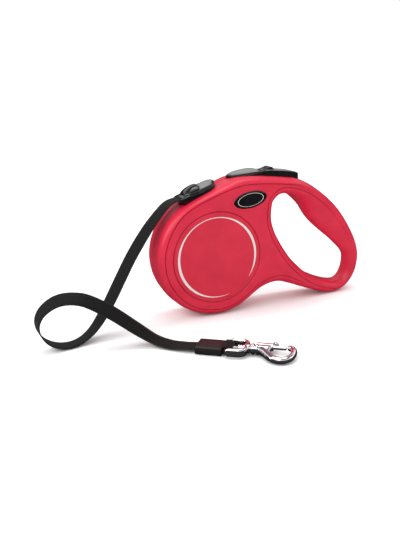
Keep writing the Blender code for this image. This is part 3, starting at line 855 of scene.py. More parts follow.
@dataclass
class Studio:
    """A white floor, a surround that only polished pieces see as dark with bright bands, and soft area lights."""

    floor_size: float = 8.0
    floor_colour: tuple[float, float, float] = (0.97, 0.97, 0.975)
    mirrored_floor: float = 0.03
    surround: float = 1.03
    aim: tuple[float, float, float] = (0.0, 0.0, 0.04)
    bands: tuple[tuple[float, float], ...] = (
        (0.0, 0.02), (0.52, 0.02), (0.66, 0.03), (0.71, 0.9), (0.80, 0.9), (0.85, 0.12), (0.93, 0.2), (1.0, 1.1),
    )  # fmt: skip
    lights: tuple[tuple[str, Point, float, float, float], ...] = (
        ("Key softbox", (-0.72, -0.55, 0.85), 0.8, 0.6, 3.0),
        ("Rim strip", (-0.85, 0.1, 0.6), 0.16, 0.9, 2.6),
        ("Fill softbox", (0.95, -0.35, 0.8), 0.5, 0.5, 0.8),
        ("Top softbox", (0.1, 0.2, 1.2), 0.9, 0.45, 3.6),
    )

    def build(self) -> None:
        """Makes the floor, the surround and the lights."""
        Bench.deselect()
        bpy.ops.mesh.primitive_plane_add(size=self.floor_size, location=(0, 0, 0))
        floor = bpy.context.object
        floor.name = "Studio_floor"
        floor.data.materials.append(self.paper())
        self.world()
        for name, place, width, height, power in self.lights:
            bpy.ops.object.light_add(type="AREA", location=place)
            lamp = bpy.context.object
            lamp.name = name
            lamp.data.shape = "RECTANGLE"
            lamp.data.size, lamp.data.size_y = width, height
            lamp.data.energy = power
            lamp.rotation_euler = (Vector(self.aim) - Vector(place)).to_track_quat("-Z", "Y").to_euler()
        view = bpy.context.scene.view_settings
        view.view_transform = "Standard"
        view.look = "None"
        log.info("studio ready, %d lights", len(self.lights))

    def paper(self) -> bpy.types.Material:
        """The floor's matt white paper, darker where polished pieces mirror it.

        Returns:
            Its material.
        """
        made = bpy.data.materials.new("White studio paper")
        made.use_nodes = True
        shader = made.node_tree.nodes["Principled BSDF"]
        wires = Wiring(made.node_tree)
        rays = wires.node("ShaderNodeLightPath")
        mirrored = [value * self.mirrored_floor for value in self.floor_colour]
        paper = wires.mix(rays.outputs["Is Glossy Ray"], self.floor_colour, mirrored)
        wires.link(paper, shader.inputs["Base Color"])
        shader.inputs["Roughness"].default_value = 1.0
        shader.inputs["Specular IOR Level"].default_value = 0.0
        return made

    def world(self) -> None:
        """Makes the surround: white to the eye, and banded by height to polished pieces, for contrast."""
        world = bpy.data.worlds.new("Pale surround")
        bpy.context.scene.world = world
        world.use_nodes = True
        world.node_tree.nodes.clear()
        wires = Wiring(world.node_tree)
        source = wires.node("ShaderNodeTexCoord")
        parts = wires.node("ShaderNodeSeparateXYZ")
        wires.link(source.outputs["Generated"], parts.inputs[0])
        ramp = wires.node("ShaderNodeValToRGB")
        wires.link(wires.ramp(parts.outputs["Z"], -1.0, 1.0, 0.0, 1.0), ramp.inputs["Fac"])
        elements = ramp.color_ramp.elements
        for place, _ in self.bands[1:-1]:
            elements.new(place)
        for element, (place, value) in zip(elements, self.bands):
            element.position = place
            element.color = (value, value, value * 1.02, 1.0)
        rays = wires.node("ShaderNodeLightPath")
        pale = wires.mix(rays.outputs["Is Glossy Ray"], (1.0, 1.0, 1.0), ramp.outputs["Color"])
        shine = wires.node("ShaderNodeBackground")
        shine.inputs["Strength"].default_value = self.surround
        wires.link(pale, shine.inputs["Color"])
        out = wires.node("ShaderNodeOutputWorld")
        wires.link(shine.outputs["Background"], out.inputs["Surface"])


# ---------------------------------------------------------------- tape and hook


@dataclass
class Ribbon:
    """A flat woven tape along a line, with a UV map: u across it, v along it in tape widths."""

    width: float = 12.0
    thick: float = 0.7
    upper: tuple[tuple[float, float], ...] = (
        (-1.0, 0.0), (-0.985, 0.6), (-0.95, 0.95), (-0.5, 1.0), (0.0, 1.0), (0.5, 1.0), (0.95, 0.95), (0.985, 0.6),
    )  # fmt: skip

    def build(
        self, name: str, line: np.ndarray, across: np.ndarray, twists: np.ndarray | None = None
    ) -> bpy.types.Object:
        """Sweeps a rounded flat section along a line.

        Args:
            name: The piece's name.
            line: The middle line, one place a row.
            across: The unit direction of the tape's width at each place.
            twists: How far the section is turned about the line at each place, in degrees.

        Returns:
            The ribbon.
        """
        along = np.gradient(line, axis=0)
        along /= np.linalg.norm(along, axis=1)[:, None]
        across = across - along * (across * along).sum(axis=1)[:, None]
        across /= np.linalg.norm(across, axis=1)[:, None]
        if twists is not None:
            turn = np.radians(twists)[:, None]
            across = across * np.cos(turn) + np.cross(along, across) * np.sin(turn)
        up = np.cross(along, across)
        half, rise = self.width / 2, self.thick / 2
        section = [*self.upper, *[(-a, -b) for a, b in self.upper]]
        rings = [line + across * half * a + up * rise * b for a, b in section]
        made = Bench.tube_loft(name, np.stack(rings, axis=1))
        self.unwrap(made, line, across)
        return Bench.smooth(made, 50)

    def unwrap(self, obj: bpy.types.Object, line: np.ndarray, across: np.ndarray) -> None:
        """Writes the UV map from each point's nearest place on the line.

        Args:
            obj: The ribbon.
            line: Its middle line.
            across: The unit direction of its width at each place.
        """
        mesh = obj.data
        places = np.empty(len(mesh.vertices) * 3)
        mesh.vertices.foreach_get("co", places)
        places = (places.reshape(-1, 3) - np.array(Bench.origin)) / MM
        run = np.concatenate([[0.0], np.cumsum(np.linalg.norm(np.diff(line, axis=0), axis=1))])
        nearest = np.argmin(np.linalg.norm(places[:, None] - line[None], axis=2), axis=1)
        u = ((places - line[nearest]) * across[nearest]).sum(axis=1) / self.width + 0.5
        v = run[nearest] / self.width
        loops = np.empty(len(mesh.loops), int)
        mesh.loops.foreach_get("vertex_index", loops)
        layer = mesh.uv_layers.new(name="Weave")
        layer.data.foreach_set("uv", np.stack([u[loops], v[loops]], axis=1).astype(np.float32).ravel())


@dataclass
class HookLine:
    """The line that the sleeve, the swivel and the hook lie on; places on it are (along, side, up)."""

    start: tuple[float, float] = (-36.0, -65.5)
    turn: float = math.radians(-36.9)
    height: float = 3.9

    def place(self, along: float, side: float = 0.0, up: float = 0.0) -> np.ndarray:
        """A place in millimetres from the drum's axis.

        Args:
            along: How far along the line.
            side: How far to its left.
            up: How far above the hook's axis.

        Returns:
            The place.
        """
        c, s = math.cos(self.turn), math.sin(self.turn)
        x = self.start[0] + along * c - side * s
        y = self.start[1] + along * s + side * c
        return np.array((x, y, self.height + up - Bench.origin.z / MM))

    def places(self, points: np.ndarray) -> np.ndarray:
        """Turns an array of (along, side, up) into places from the drum's axis."""
        flat = points.reshape(-1, 3)
        return np.array([self.place(*point) for point in flat]).reshape(points.shape)

    def block(self, name: str, low: Point, high: Point, bevel: float, segments: int = 4) -> bpy.types.Object:
        """A rounded block between two corners.

        Args:
            name: The piece's name.
            low: Its lowest (along, side, up).
            high: Its highest (along, side, up).
            bevel: The radius of its edges.
            segments: How many faces round an edge.

        Returns:
            The block.
        """
        Bench.deselect()
        middle = (Vector(low) + Vector(high)) / 2
        place = Bench.at(*self.place(*middle))
        bpy.ops.mesh.primitive_cube_add(size=1.0, location=place, rotation=(0, 0, self.turn))
        obj = bpy.context.object
        obj.scale = (Vector(high) - Vector(low)) * MM
        Bench.settle(obj, name)
        if bevel:
            Bench.finish_with(obj, "BEVEL", width=bevel * MM, segments=segments, limit_method="ANGLE")
        return obj

    def lathe(self, name: str, profile: Sequence[Point], side: float = 0.0, sides: int = 48) -> bpy.types.Object:
        """A profile of (along, radius) turned round the line.

        Args:
            name: The piece's name.
            profile: Its points from one end to the other.
            side: How far to the left of the line its axis lies.
            sides: How many faces go round.

        Returns:
            The turned piece.
        """
        angles = np.linspace(0, 2 * np.pi, sides, endpoint=False)
        rings = [[(along, side + r * math.cos(a), r * math.sin(a)) for a in angles] for along, r in profile]
        return Bench.tube_loft(name, self.places(np.array(rings)))

    def wire(self, name: str, line: np.ndarray, radii: np.ndarray, sides: int = 24) -> bpy.types.Object:
        """A round bar along an open line of (along, side, up), with its own radius at each place.

        Args:
            name: The piece's name.
            line: Its middle line.
            radii: The bar's radius at each place.
            sides: How many faces go round.

        Returns:
            The bar.
        """
        return Bench.tube_loft(name, self.places(round_section(line, radii, sides, False)))


def round_section(line: np.ndarray, radii: np.ndarray, sides: int, closed: bool) -> np.ndarray:
    """Circles round a line that lies nearly level.

    Args:
        line: The middle line, one place a row.
        radii: The circle's radius at each place.
        sides: How many points go round.
        closed: Whether the line closes on itself.

    Returns:
        The rings, as (ring, point, xyz).
    """
    if closed:
        along = np.roll(line, -1, axis=0) - np.roll(line, 1, axis=0)
    else:
        along = np.gradient(line, axis=0)
    along /= np.linalg.norm(along, axis=1)[:, None]
    out = np.cross(along, np.array((0.0, 0.0, 1.0)))
    out /= np.linalg.norm(out, axis=1)[:, None]
    up = np.cross(out, along)
    angles = np.linspace(0, 2 * np.pi, sides, endpoint=False)
    return np.stack([line + radii[:, None] * (out * math.cos(a) + up * math.sin(a)) for a in angles], axis=1)


@dataclass
class TapeLine:
    """The free tape with its sleeve, its folded end, the swivel eye and the snap hook.

    The twists are in degrees, one for each place of the route; a row of the arm is along, side, up, radius.
    """

    line: HookLine = field(default_factory=HookLine)
    route: tuple[Point, ...] = (
        (-21.3, 0.0, 42.3), (-31.0, -0.5, 38.6), (-42.0, -1.5, 28.0), (-50.6, -3.0, 18.0),
        (-59.8, -5.5, 6.3), (-68.4, -8.5, -6.0), (-77.6, -12.5, -19.0), (-85.2, -15.5, -29.0),
        (-92.6, -18.5, -36.4), (-100.2, -21.0, -40.8), (-108.7, -23.0, -42.6), (-117.3, -24.5, -41.0),
        (-124.5, -26.0, -36.0), (-128.5, -27.5, -29.0), (-129.1, -29.0, -21.5), (-126.0, -30.5, -14.8),
        (-120.0, -32.0, -9.8), (-113.2, -33.5, -7.3), (-105.3, -35.0, -7.4), (-96.6, -36.0, -10.4),
        (-82.7, -38.5, -19.6), (-67.5, -42.0, -32.2), (-57.6, -46.5, -39.4), (-49.8, -53.5, -41.6),
        (-43.0, -60.3, -41.0), (-36.3, -65.3, -40.6),
    )  # fmt: skip
    twists: tuple[float, ...] = (
        0, -8, -15, -19, -20, -20, -19, -14, -6, 0, 0, 0, 3, 6, 9, 13, 18, 22, 26, 31, 32, 24, 12, 5, 0, 0,
    )  # fmt: skip
    steps: int = 6
    turns_at: float = 0.72
    sleeve: tuple[float, float, float] = (18.0, 14.6, 5.4)
    bar: float = 20.6
    eye_end: float = 32.4
    eye_half: float = 8.2
    eye_wire: float = 1.45
    eye_rise: float = 2.75
    bolt_side: float = 4.6
    arm: tuple[Point, ...] = (
        (41.5, -0.8, 0.0, 2.7), (44.0, -2.9, -0.3, 2.75), (46.8, -6.2, -0.7, 2.65), (50.0, -9.4, -1.0, 2.4),
        (54.0, -11.1, -1.1, 2.25), (57.8, -10.3, -1.0, 2.15), (60.7, -7.2, -0.8, 2.05), (61.9, -2.4, -0.4, 1.95),
        (61.5, 1.8, 0.0, 1.9), (60.0, 4.4, 0.0, 1.95), (58.3, 5.1, 0.0, 1.85), (57.3, 5.1, 0.0, 1.2),
    )  # fmt: skip

    def build(self) -> None:
        tape, path = self.tape()
        on_it = [self.sleeve_box(), self.folded_end(), self.swivel_eye(), self.hook_body(), self.bolt()]

    def tape(self) -> tuple[bpy.types.Object, np.ndarray]:
        """The free tape: its width twists a little and turns with the hook's line at its end.

        Returns:
            The tape, and its middle line in metres.
        """
        line = spline(self.route, self.steps)
        share = np.linspace(0, 1, len(line))
        turns = self.line.turn * np.clip((share - self.turns_at) / (1 - self.turns_at), 0, 1)
        across = np.stack([-np.sin(turns), np.cos(turns), np.zeros(len(line))], axis=1)
        twists = spline([(twist,) for twist in self.twists], self.steps)[:, 0]
        made = Ribbon().build("Free_tape", line, across, twists)
        Bench.dress(made, TAPE, "casing", "tape_black", "tape")
        return made, line * MM + np.array(Bench.origin)

    def sleeve_box(self) -> bpy.types.Object:
        """The moulded sleeve over the stitched end: a rounded box whose top panel stands in a fine groove.

        Returns:
            The sleeve.
        """
        length, width, height = self.sleeve
        low = 0.2 - self.line.height
        top = low + height
        half = width / 2
        body = self.line.block("Sleeve", (GAP, -half, low), (length, half, top), 1.25, 5)
        for inset, sunk, how in ((1.9, 0.22, Cut.AWAY), (2.35, 0.0, Cut.JOIN)):
            floor, roof = (top - sunk, top + 2.0) if how is Cut.AWAY else (top - 1.0, top - 0.03)
            corner = (length - inset, half - inset, roof)
            panel = self.line.block("Panel", (GAP + inset, inset - half, floor), corner, 0.0)
            Bench.finish_with(panel, "BEVEL", width=0.05 * MM, segments=2)
            Bench.boolean(body, panel, how)
        return Bench.dress(body, SLEEVE, "casing", "sleeve_black", "tape_sleeve", smooth=40)

    def folded_end(self) -> bpy.types.Object:
        """The tape's end, folded round the bar of the eye.

        Returns:
            The folded tape.
        """
        radius = self.eye_wire + GAP + 0.5
        start = self.sleeve[0] + GAP + 0.02
        fold = [(start, 0.0, radius), (self.bar - 1.0, 0.0, radius)]
        fold += [(self.bar + radius * math.cos(a), 0.0, radius * math.sin(a)) for a in np.radians(range(90, -91, -15))]
        fold += [(self.bar - 1.0, 0.0, -radius), (start, 0.0, -radius)]
        line = self.line.places(np.array(fold))
        across = np.tile((-math.sin(self.line.turn), math.cos(self.line.turn), 0.0), (len(line), 1))
        made = Ribbon(thick=0.95).build("Folded_tape_end", line, across)
        return Bench.dress(made, TAPE, "casing", "tape_black", "webbing_loop")

    def swivel_eye(self) -> bpy.types.Object:
        """The D-shaped frame with its knuckle, in which the hook turns.

        Returns:
            The eye.
        """
        start, end, half = self.bar, self.eye_end, self.eye_half
        corner, bend = 1.7, 4.6
        path = [(start, y, 0.0) for y in (-half + corner, -3.0, 0.0, 3.0, half - corner)]
        path += [(start + 0.5, half - 0.5, 0.0), (start + corner, half, 0.0), (end - bend - 2.0, half, 0.0)]
        turns = np.radians(range(15, 91, 15))
        curve = [(end - bend + bend * math.sin(a), half - 3.9 + 3.9 * math.cos(a), 0.0) for a in turns]
        path += curve + [(end, 0.0, 0.0)] + [(x, -y, z) for x, y, z in curve[::-1]]
        path += [(end - bend - 2.0, -half, 0.0), (start + corner, -half, 0.0), (start + 0.5, -half + 0.5, 0.0)]
        middle = spline(path, 4, closed=True)
        rings = round_section(middle, np.full(len(middle), self.eye_wire), 24, True)
        tall = 1 + (self.eye_rise / self.eye_wire - 1) * np.clip((middle[:, 0] - start) / 1.6, 0, 1)
        height = rings[:, :, 2] / self.eye_wire
        rings[:, :, 2] = tall[:, None] * self.eye_wire * np.sign(height) * np.abs(height) ** 0.8
        eye = Bench.ring_loft("Swivel_eye", self.line.places(rings))
        knuckle = [(27.0, 0.02), (27.0, 1.7), (27.4, 2.15)]
        for place in (28.0, 29.5):
            knuckle += [(place, 2.15), (place + 0.1, 1.55), (place + 0.6, 1.55), (place + 0.7, 2.15)]
        knuckle += [(30.9, 2.2), (31.2, 2.9), (33.8, 3.1), (34.4, 2.9), (35.0, 2.5), (35.0, 0.02)]
        Bench.boolean(eye, self.line.lathe("Knuckle", knuckle), Cut.JOIN)
        bore = [(32.8, 0.02), (32.8, 1.4), (36.0, 1.4), (36.0, 0.02)]
        Bench.boolean(eye, self.line.lathe("Pin_bore", bore, sides=24))
        return Bench.dress(eye, CHROME, "casing", "chrome", "swivel_eye", smooth=38)

    def hook_body(self) -> bpy.types.Object:
        """The snap hook: a collared barrel, the bolt's carrier and the swept arm, in one casting.

        Returns:
            The hook.
        """
        profile = (
            (33.2, 0.02), (33.2, 1.1), (35.3, 1.1), (35.35, 2.9), (35.6, 3.35), (36.6, 3.5), (37.1, 3.35), (37.4, 2.7),
            (37.8, 2.45), (38.3, 2.6), (38.6, 3.3), (39.2, 3.45), (39.8, 3.3), (40.2, 3.0), (44.6, 2.95), (46.6, 2.7),
            (47.4, 2.0), (47.5, 0.02),
        )  # fmt: skip
        body = self.line.lathe("Snap_hook", profile)
        side = self.bolt_side
        carrier = [(38.0, 0.02), (38.0, 2.1), (38.4, 2.5), (47.9, 2.5), (48.4, 2.1), (48.4, 0.02)]
        Bench.boolean(body, self.line.lathe("Carrier", carrier, side=side), Cut.JOIN)
        web = self.line.block("Web", (38.6, 0.6, -2.1), (47.2, side, 2.1), 0.3, 2)
        Bench.boolean(body, web, Cut.JOIN)
        table = spline(self.arm, 5)
        tip = table[-1].copy()
        tip[0] -= 0.35
        tip[3] = 0.3
        table = np.concatenate([table, tip[None]])
        Bench.boolean(body, self.line.wire("Arm", table[:, :3], table[:, 3]), Cut.JOIN)
        bore = self.line.lathe("Bolt_bore", [(38.8, 0.02), (38.8, 1.6), (52.0, 1.6), (52.0, 0.02)], side, 24)
        Bench.boolean(body, bore)
        slot = self.line.block("Knob_slot", (42.6, side, -1.6), (50.0, 9.0, 1.6), 0.0)
        Bench.boolean(body, slot)
        return Bench.dress(body, CHROME, "hook", "chrome", "hook_body", smooth=38)

    def bolt(self) -> bpy.types.Object:
        """The thumb bolt with its mushroom knob.

        Returns:
            The bolt.
        """
        side = self.bolt_side
        profile = [(46.0, 0.02), (46.0, 1.3), (56.0, 1.3), (56.5, 0.9), (56.6, 0.02)]
        pin = self.line.lathe("Thumb_bolt", profile, side, 28)
        angles = np.linspace(0, 2 * np.pi, 28, endpoint=False)
        stem = ((side + 0.2, 0.95), (side + 2.9, 0.95), (side + 3.1, 1.5), (side + 3.6, 1.8), (side + 4.6, 1.8))
        stem += ((side + 5.1, 1.45), (side + 5.2, 0.8))
        rings = [[(49.0 + r * math.cos(a), y, r * math.sin(a)) for a in angles] for y, r in stem]
        knob = Bench.tube_loft("Knob", self.line.places(np.array(rings)))
        Bench.boolean(pin, knob, Cut.JOIN)
        return Bench.dress(pin, CHROME, "bolt", "chrome", "hook_bolt", smooth=38)


# ---------------------------------------------------------------- casing


@dataclass
class Casing:
    """Both moulded halves.

    A grip row is outline x, z | rim inset | ridge of the hand opening x, z | its wall's swell; a drum row is the
    outline's angle in degrees | ridge x, z. The reel's room is radius | from | to; each of the other rooms is first
    and last row past the drum's | depth | wall at the outline | wall at the opening. A screw is x, z | head radius.
    """

    drum: float = 43.5
    half: float = 15.6
    grip_half: float = 8.5
    taper: tuple[float, float] = (50.0, 112.0)
    step: float = 0.4
    step_fades: tuple[float, float] = (58.0, 80.0)
    disc: float = 32.5
    steps: int = 4
    rim_depths: tuple[float, ...] = (
        0.0, 0.012, 0.2, 0.4, 0.5, 0.58, 0.66, 0.73, 0.79, 0.84, 0.885, 0.92, 0.95, 0.972, 0.988, 0.997,
    )  # fmt: skip
    drum_rows: tuple[Point, ...] = (
        (112, 41.3, 31.6), (127, 41.0, 29.6), (142, 40.8, 27.6), (157, 40.7, 25.4), (172, 40.7, 23.1),
        (187, 40.9, 20.7), (202, 41.3, 18.2), (217, 42.0, 15.6), (232, 42.9, 12.8), (246, 44.0, 10.0),
        (258, 45.3, 7.2), (270, 46.9, 4.2), (282, 48.7, 1.0), (294, 50.6, -2.2), (306, 52.9, -5.7),
    )  # fmt: skip
    rim_angles: tuple[float, ...] = (112, 127, 142, 157, 282, 306)
    rims: tuple[float, ...] = (3.4, 4.0, 4.8, 5.3, 5.3, 5.8)
    grip_rows: tuple[Point, ...] = (
        (36.5, -28.8, 6.5, 56.5, -10.8, 3.0), (48.0, -26.8, 7.0, 62.5, -17.3, 3.0),
        (58.5, -29.8, 6.0, 70.0, -24.3, 3.0), (70.0, -34.6, 4.6, 79.0, -30.2, 3.2),
        (82.0, -39.4, 3.8, 88.0, -34.9, 3.4), (92.0, -42.6, 3.4, 97.0, -38.0, 3.6),
        (100.0, -43.5, 3.4, 104.0, -38.8, 3.9), (108.5, -41.4, 3.5, 109.6, -36.4, 4.1),
        (115.0, -36.0, 3.7, 113.6, -31.4, 4.3), (119.6, -28.0, 3.9, 115.9, -24.6, 4.5),
        (121.6, -17.5, 4.1, 116.4, -16.6, 4.9), (120.4, -8.5, 4.4, 114.8, -9.2, 6.8),
        (117.0, 0.5, 4.7, 111.4, -1.6, 9.3), (111.3, 10.9, 4.8, 106.2, 7.8, 12.3),
        (103.5, 22.0, 5.0, 99.0, 16.8, 14.0), (95.0, 30.8, 5.2, 91.3, 24.0, 14.0),
        (86.0, 38.2, 5.4, 83.3, 30.2, 12.0), (76.5, 44.6, 5.4, 75.3, 35.2, 7.5),
        (66.0, 49.4, 5.2, 67.6, 38.9, 3.8), (55.0, 51.4, 5.2, 60.5, 41.4, 3.1),
        (42.0, 53.2, 5.4, 53.5, 42.6, 3.0), (30.0, 54.3, 5.6, 48.5, 41.6, 3.0),
        (18.5, 53.7, 5.4, 44.6, 38.6, 3.0), (8.0, 50.2, 4.4, 42.3, 35.6, 3.0),
        (-3.0, 45.8, 3.6, 41.7, 33.6, 3.0),
    )  # fmt: skip
    reel_room: tuple[Point, ...] = ((41.1, -1.0, 11.6), (39.6, 11.0, 13.3))
    rooms: tuple[tuple[int, int, float, float, float], ...] = ((18, 24, 11.4, 3.6, 2.6), (12, 19, 5.2, 3.0, 2.2))
    flare: tuple[float, float] = (32.75, 34.05)
    screws: tuple[Point, ...] = ((9.0, 44.6, 2.4), (47.5, -18.5, 2.4), (92.0, 22.0, 2.4), (118.1, -20.6, 1.5))
    button_pivot: tuple[float, float] = (19.0, 47.2)
    pawl_pivot: tuple[float, float] = (35.5, 39.0)

    def build(self) -> None:
        """Makes both halves, dressed."""
        for side, word in SIDES:
            half = self.shell(f"{word}_half", side)
            self.hollow(half, side)
            self.pockets(half, side)
            Bench.smooth(half, 24)
            Bench.finish_with(half, "WEIGHTED_NORMAL", keep_sharp=True, weight=80)
            Bench.dress(half, RED, "casing", "casing_red", f"{word.lower()}_shell")

    def thickness(self, x: np.ndarray) -> np.ndarray:
        """Half of the casing's thickness at x."""
        share = np.clip((x - self.taper[0]) / (self.taper[1] - self.taper[0]), 0, 1)
        return self.half + (self.grip_half - self.half) * share * share * (3 - 2 * share)

    def rows(self) -> np.ndarray:
        """The rows once round the opening, smoothed and multiplied.

        Returns:
            One row of six numbers for each station.
        """
        rows = []
        for angle, x, z in self.drum_rows:
            turn = math.radians(angle)
            rim = float(np.interp(angle, self.rim_angles, self.rims))
            rows.append((self.drum * math.cos(turn), self.drum * math.sin(turn), rim, x, z, 3.0))
        return spline([*rows, *self.grip_rows], self.steps, closed=True)

    def shell(self, name: str, side: Side) -> bpy.types.Object:
        """One half's form: a rounded rim, a stepped face, a stepped ridge and the opening's swollen wall.

        Args:
            name: The piece's name.
            side: Which half.

        Returns:
            The closed form.
        """
        rows = self.rows()
        outline, rim, edge, swell = rows[:, 0:2], rows[:, 2:3], rows[:, 3:5], rows[:, 5:6]
        outward, inward = sideways(outline), -sideways(edge)
        fade = np.clip((self.step_fades[1] - outline[:, :1]) / (self.step_fades[1] - self.step_fades[0]), 0, 1)
        drop = self.step * fade * fade * (3 - 2 * fade)
        levels = []
        flat = np.zeros_like(drop)
        for depth in self.rim_depths:
            round_part = max(0.0, (depth - 0.5) / 0.5)
            share = 0.1 * min(1.0, depth / 0.5) + 0.9 * (1 - math.sqrt(1 - round_part**2))
            chamfer = 0.22 if depth == 0.0 else 0.0
            levels.append((outline - outward * ((rim - 0.66 * fade) * share + chamfer), depth, drop * depth**3))
        plateau = outline - outward * rim
        for reach, deep in ((0.62, 1.0), (0.52, 2.6), (0.14, 2.6)):
            levels.append((plateau + outward * reach * fade, 1.0, drop * deep))
        margin = np.minimum(2.1, 0.4 * np.linalg.norm(edge - plateau, axis=1)[:, None])
        ridge = edge - inward * margin
        for share in (0.0, 0.03, 0.5, 0.97, 1.0):
            levels.append((plateau + (ridge - plateau) * share, 1.0, flat))
        ledge = np.full_like(drop, 0.4)
        cut = np.clip((margin - 0.8) / 0.8, 0.0, 1.0)
        for reach, deep in ((0.05, 0.8), (0.22, 0.8), (0.28, 0.12), (0.7, 0.16)):
            levels.append((ridge + inward * margin * reach, 1.0, deep * cut))
        levels.append((edge + inward * 0.05, 1.0, ledge))
        levels.append((edge + inward * 0.5, 1.0, ledge + 0.2))
        throat = self.thickness(edge[:, :1])
        lip = np.minimum(np.minimum(throat, 0.8 + 1.2 * swell) / throat, 0.85)
        for part in (0.05, 0.12, 0.22, 0.34, 0.48, 0.64, 0.82, 1.0):
            share = (1 - part) ** 1.7
            depth = 1 - lip * part
            wall = edge + inward * (0.5 + (swell - 0.5) * (1 - share))
            levels.append((wall, depth, (ledge + 0.2) * (1 - part)))
        deepest = edge + inward * swell
        levels.append((deepest, (1 - lip) * 0.4, flat))
        levels.append((deepest, 0.012, flat))
        levels.append((deepest - inward * 0.22, 0.0, flat))
        rings = []
        for place, depth, lowered in levels:
            y = 0.04 + depth * (self.thickness(place[:, :1]) - 0.04) - lowered
            rings.append(np.concatenate([place[:, :1], side.value * y, place[:, 1:]], axis=1))
        return Bench.ring_loft(name, np.stack(rings, axis=1))

    def across(self, side: Side, low: float, high: float) -> tuple[float, float, float]:
        """The lowest, the highest and the length of a stretch of Y on one side."""
        near, far = sorted((side.value * low, side.value * high))
        return near, far, far - near

    def hole(
        self,
        half: bpy.types.Object,
        side: Side,
        place: Point,
        radius: float,
        low: float,
        high: float,
        sides: int = 48,
    ) -> None:
        """Cuts a round hole along Y into a half.

        Args:
            half: The half.
            side: Which one it is.
            place: The hole's x and z.
            radius: Its radius.
            low: Where it starts, from the middle plane.
            high: Where it ends.
            sides: How many faces go round.
        """
        near, far, depth = self.across(side, low, high)
        Bench.boolean(half, Bench.rod("Hole", (place[0], (near + far) / 2, place[1]), radius, depth, sides))

    def hollow(self, half: bpy.types.Object, side: Side) -> None:
        """Cuts the reel's room, the brake's room, the grip's room and the seats of screws and pins.

        Args:
            half: The half.
            side: Which one it is.
        """
        for radius, low, high in self.reel_room:
            self.hole(half, side, (0, 0), radius, low, high, 96)
        rows = self.rows()
        outward, inward = sideways(rows[:, 0:2]), -sideways(rows[:, 3:5])
        start = len(self.drum_rows)
        for first, last, deep, outer, inner in self.rooms:
            picked = slice((start + first) * self.steps, (start + last) * self.steps + 1)
            around = rows[picked, 0:2] - outward[picked] * outer
            stands = np.maximum(0.0, 0.62 * rows[picked, 5:6] - 1.9) if deep < 8 else 0.0
            back = rows[picked, 3:5] + inward[picked] * (stands - inner)
            corners = [(-8.0, 38.0), (-4.0, 30.0), (28.0, 26.0)] if deep > 8 else []
            low, high, _ = self.across(side, -1.0, deep)
            outline = [*map(tuple, around), *corners, *map(tuple, back[::-1])]
            Bench.boolean(half, Bench.slab("Room", outline, low, high))
        for x, z, head in self.screws:
            deep = float(self.thickness(np.array(x)))
            self.hole(half, side, (x, z), min(1.6, head - 0.2), -1.0, deep - 2.0, 24)
            if side is Side.REAR:
                self.hole(half, side, (x, z), head + 0.25, deep - 3.0, deep + 2.0, 48)
        for pivot in (self.button_pivot, self.pawl_pivot):
            self.hole(half, side, pivot, 1.5, 2.0, 13.2, 24)

    def pockets(self, half: bpy.types.Object, side: Side) -> None:
        """Cuts the disc's flared recess, the badge's pocket, the guide's pocket and the button's slot.

        Args:
            half: The half.
            side: Which one it is.
        """
        self.hole(half, side, (0, 0), self.disc + GAP, self.half - 1.3, self.half + 2.0, 160)
        start, end = self.flare if side is Side.REAR else self.flare[::-1]
        middle = (0, side.value * (self.half + 0.2), 0)
        Bench.boolean(half, Bench.rod("Flare", middle, start, 1.2, 160, end))
        low, high, _ = self.across(side, self.half - 0.8, self.half + 2.0)
        Bench.boolean(half, Bench.slab("Badge_pocket", Badges().outline(GAP), low, high))
        Bench.boolean(half, Guide().pocket_tool())
        Bench.boolean(half, Brake().slot_tool())


# ---------------------------------------------------------------- trim


@dataclass
class Discs:
    """The round cover on each side, with a printed silver arc whose width swells and thins."""

    radius: float = 32.5
    face: float = 15.65
    print_radius: float = 28.8
    widths: tuple[Point, ...] = (
        (-36, 0.12), (-26, 0.6), (-8, 1.3), (20, 1.75), (45, 1.45), (75, 0.75), (105, 0.5), (135, 0.8),
        (165, 1.45), (195, 1.85), (222, 1.7), (248, 1.0), (268, 0.5), (286, 0.12),
    )  # fmt: skip

    def build(self) -> None:
        """Makes both discs and both prints."""
        for side, word in SIDES:
            low, high = sorted((side.value * (self.face - 1.05), side.value * self.face))
            disc = Bench.rod(f"{word}_disc", (0, (low + high) / 2, 0), self.radius, high - low, 160)
            Bench.finish_with(disc, "BEVEL", width=0.45 * MM, segments=4, limit_method="ANGLE", angle_limit=1.0)
            Bench.dress(disc, RED_DISC, "casing", "disc_red", f"{word.lower()}_disc", smooth=30)
            self.silver(f"{word}_disc_print", side)

    def silver(self, name: str, side: Side) -> None:
        """Makes the printed arc, a few hundredths proud of the disc.

        Args:
            name: The piece's name.
            side: Which disc it is on.
        """
        table = spline(self.widths, 8)
        rings = []
        for degrees, width in table:
            turn = math.radians(degrees)
            ring = []
            for reach, lift in ((-0.5, -0.03), (0.5, -0.03), (0.5, 0.04), (0.42, 0.06), (-0.42, 0.06), (-0.5, 0.04)):
                radius = self.print_radius + reach * width
                ring.append((radius * math.cos(turn), side.value * (self.face + lift), radius * math.sin(turn)))
            rings.append(ring)
        made = Bench.tube_loft(name, np.array(rings))
        Bench.dress(made, PRINT, "casing", "chrome", smooth=30)


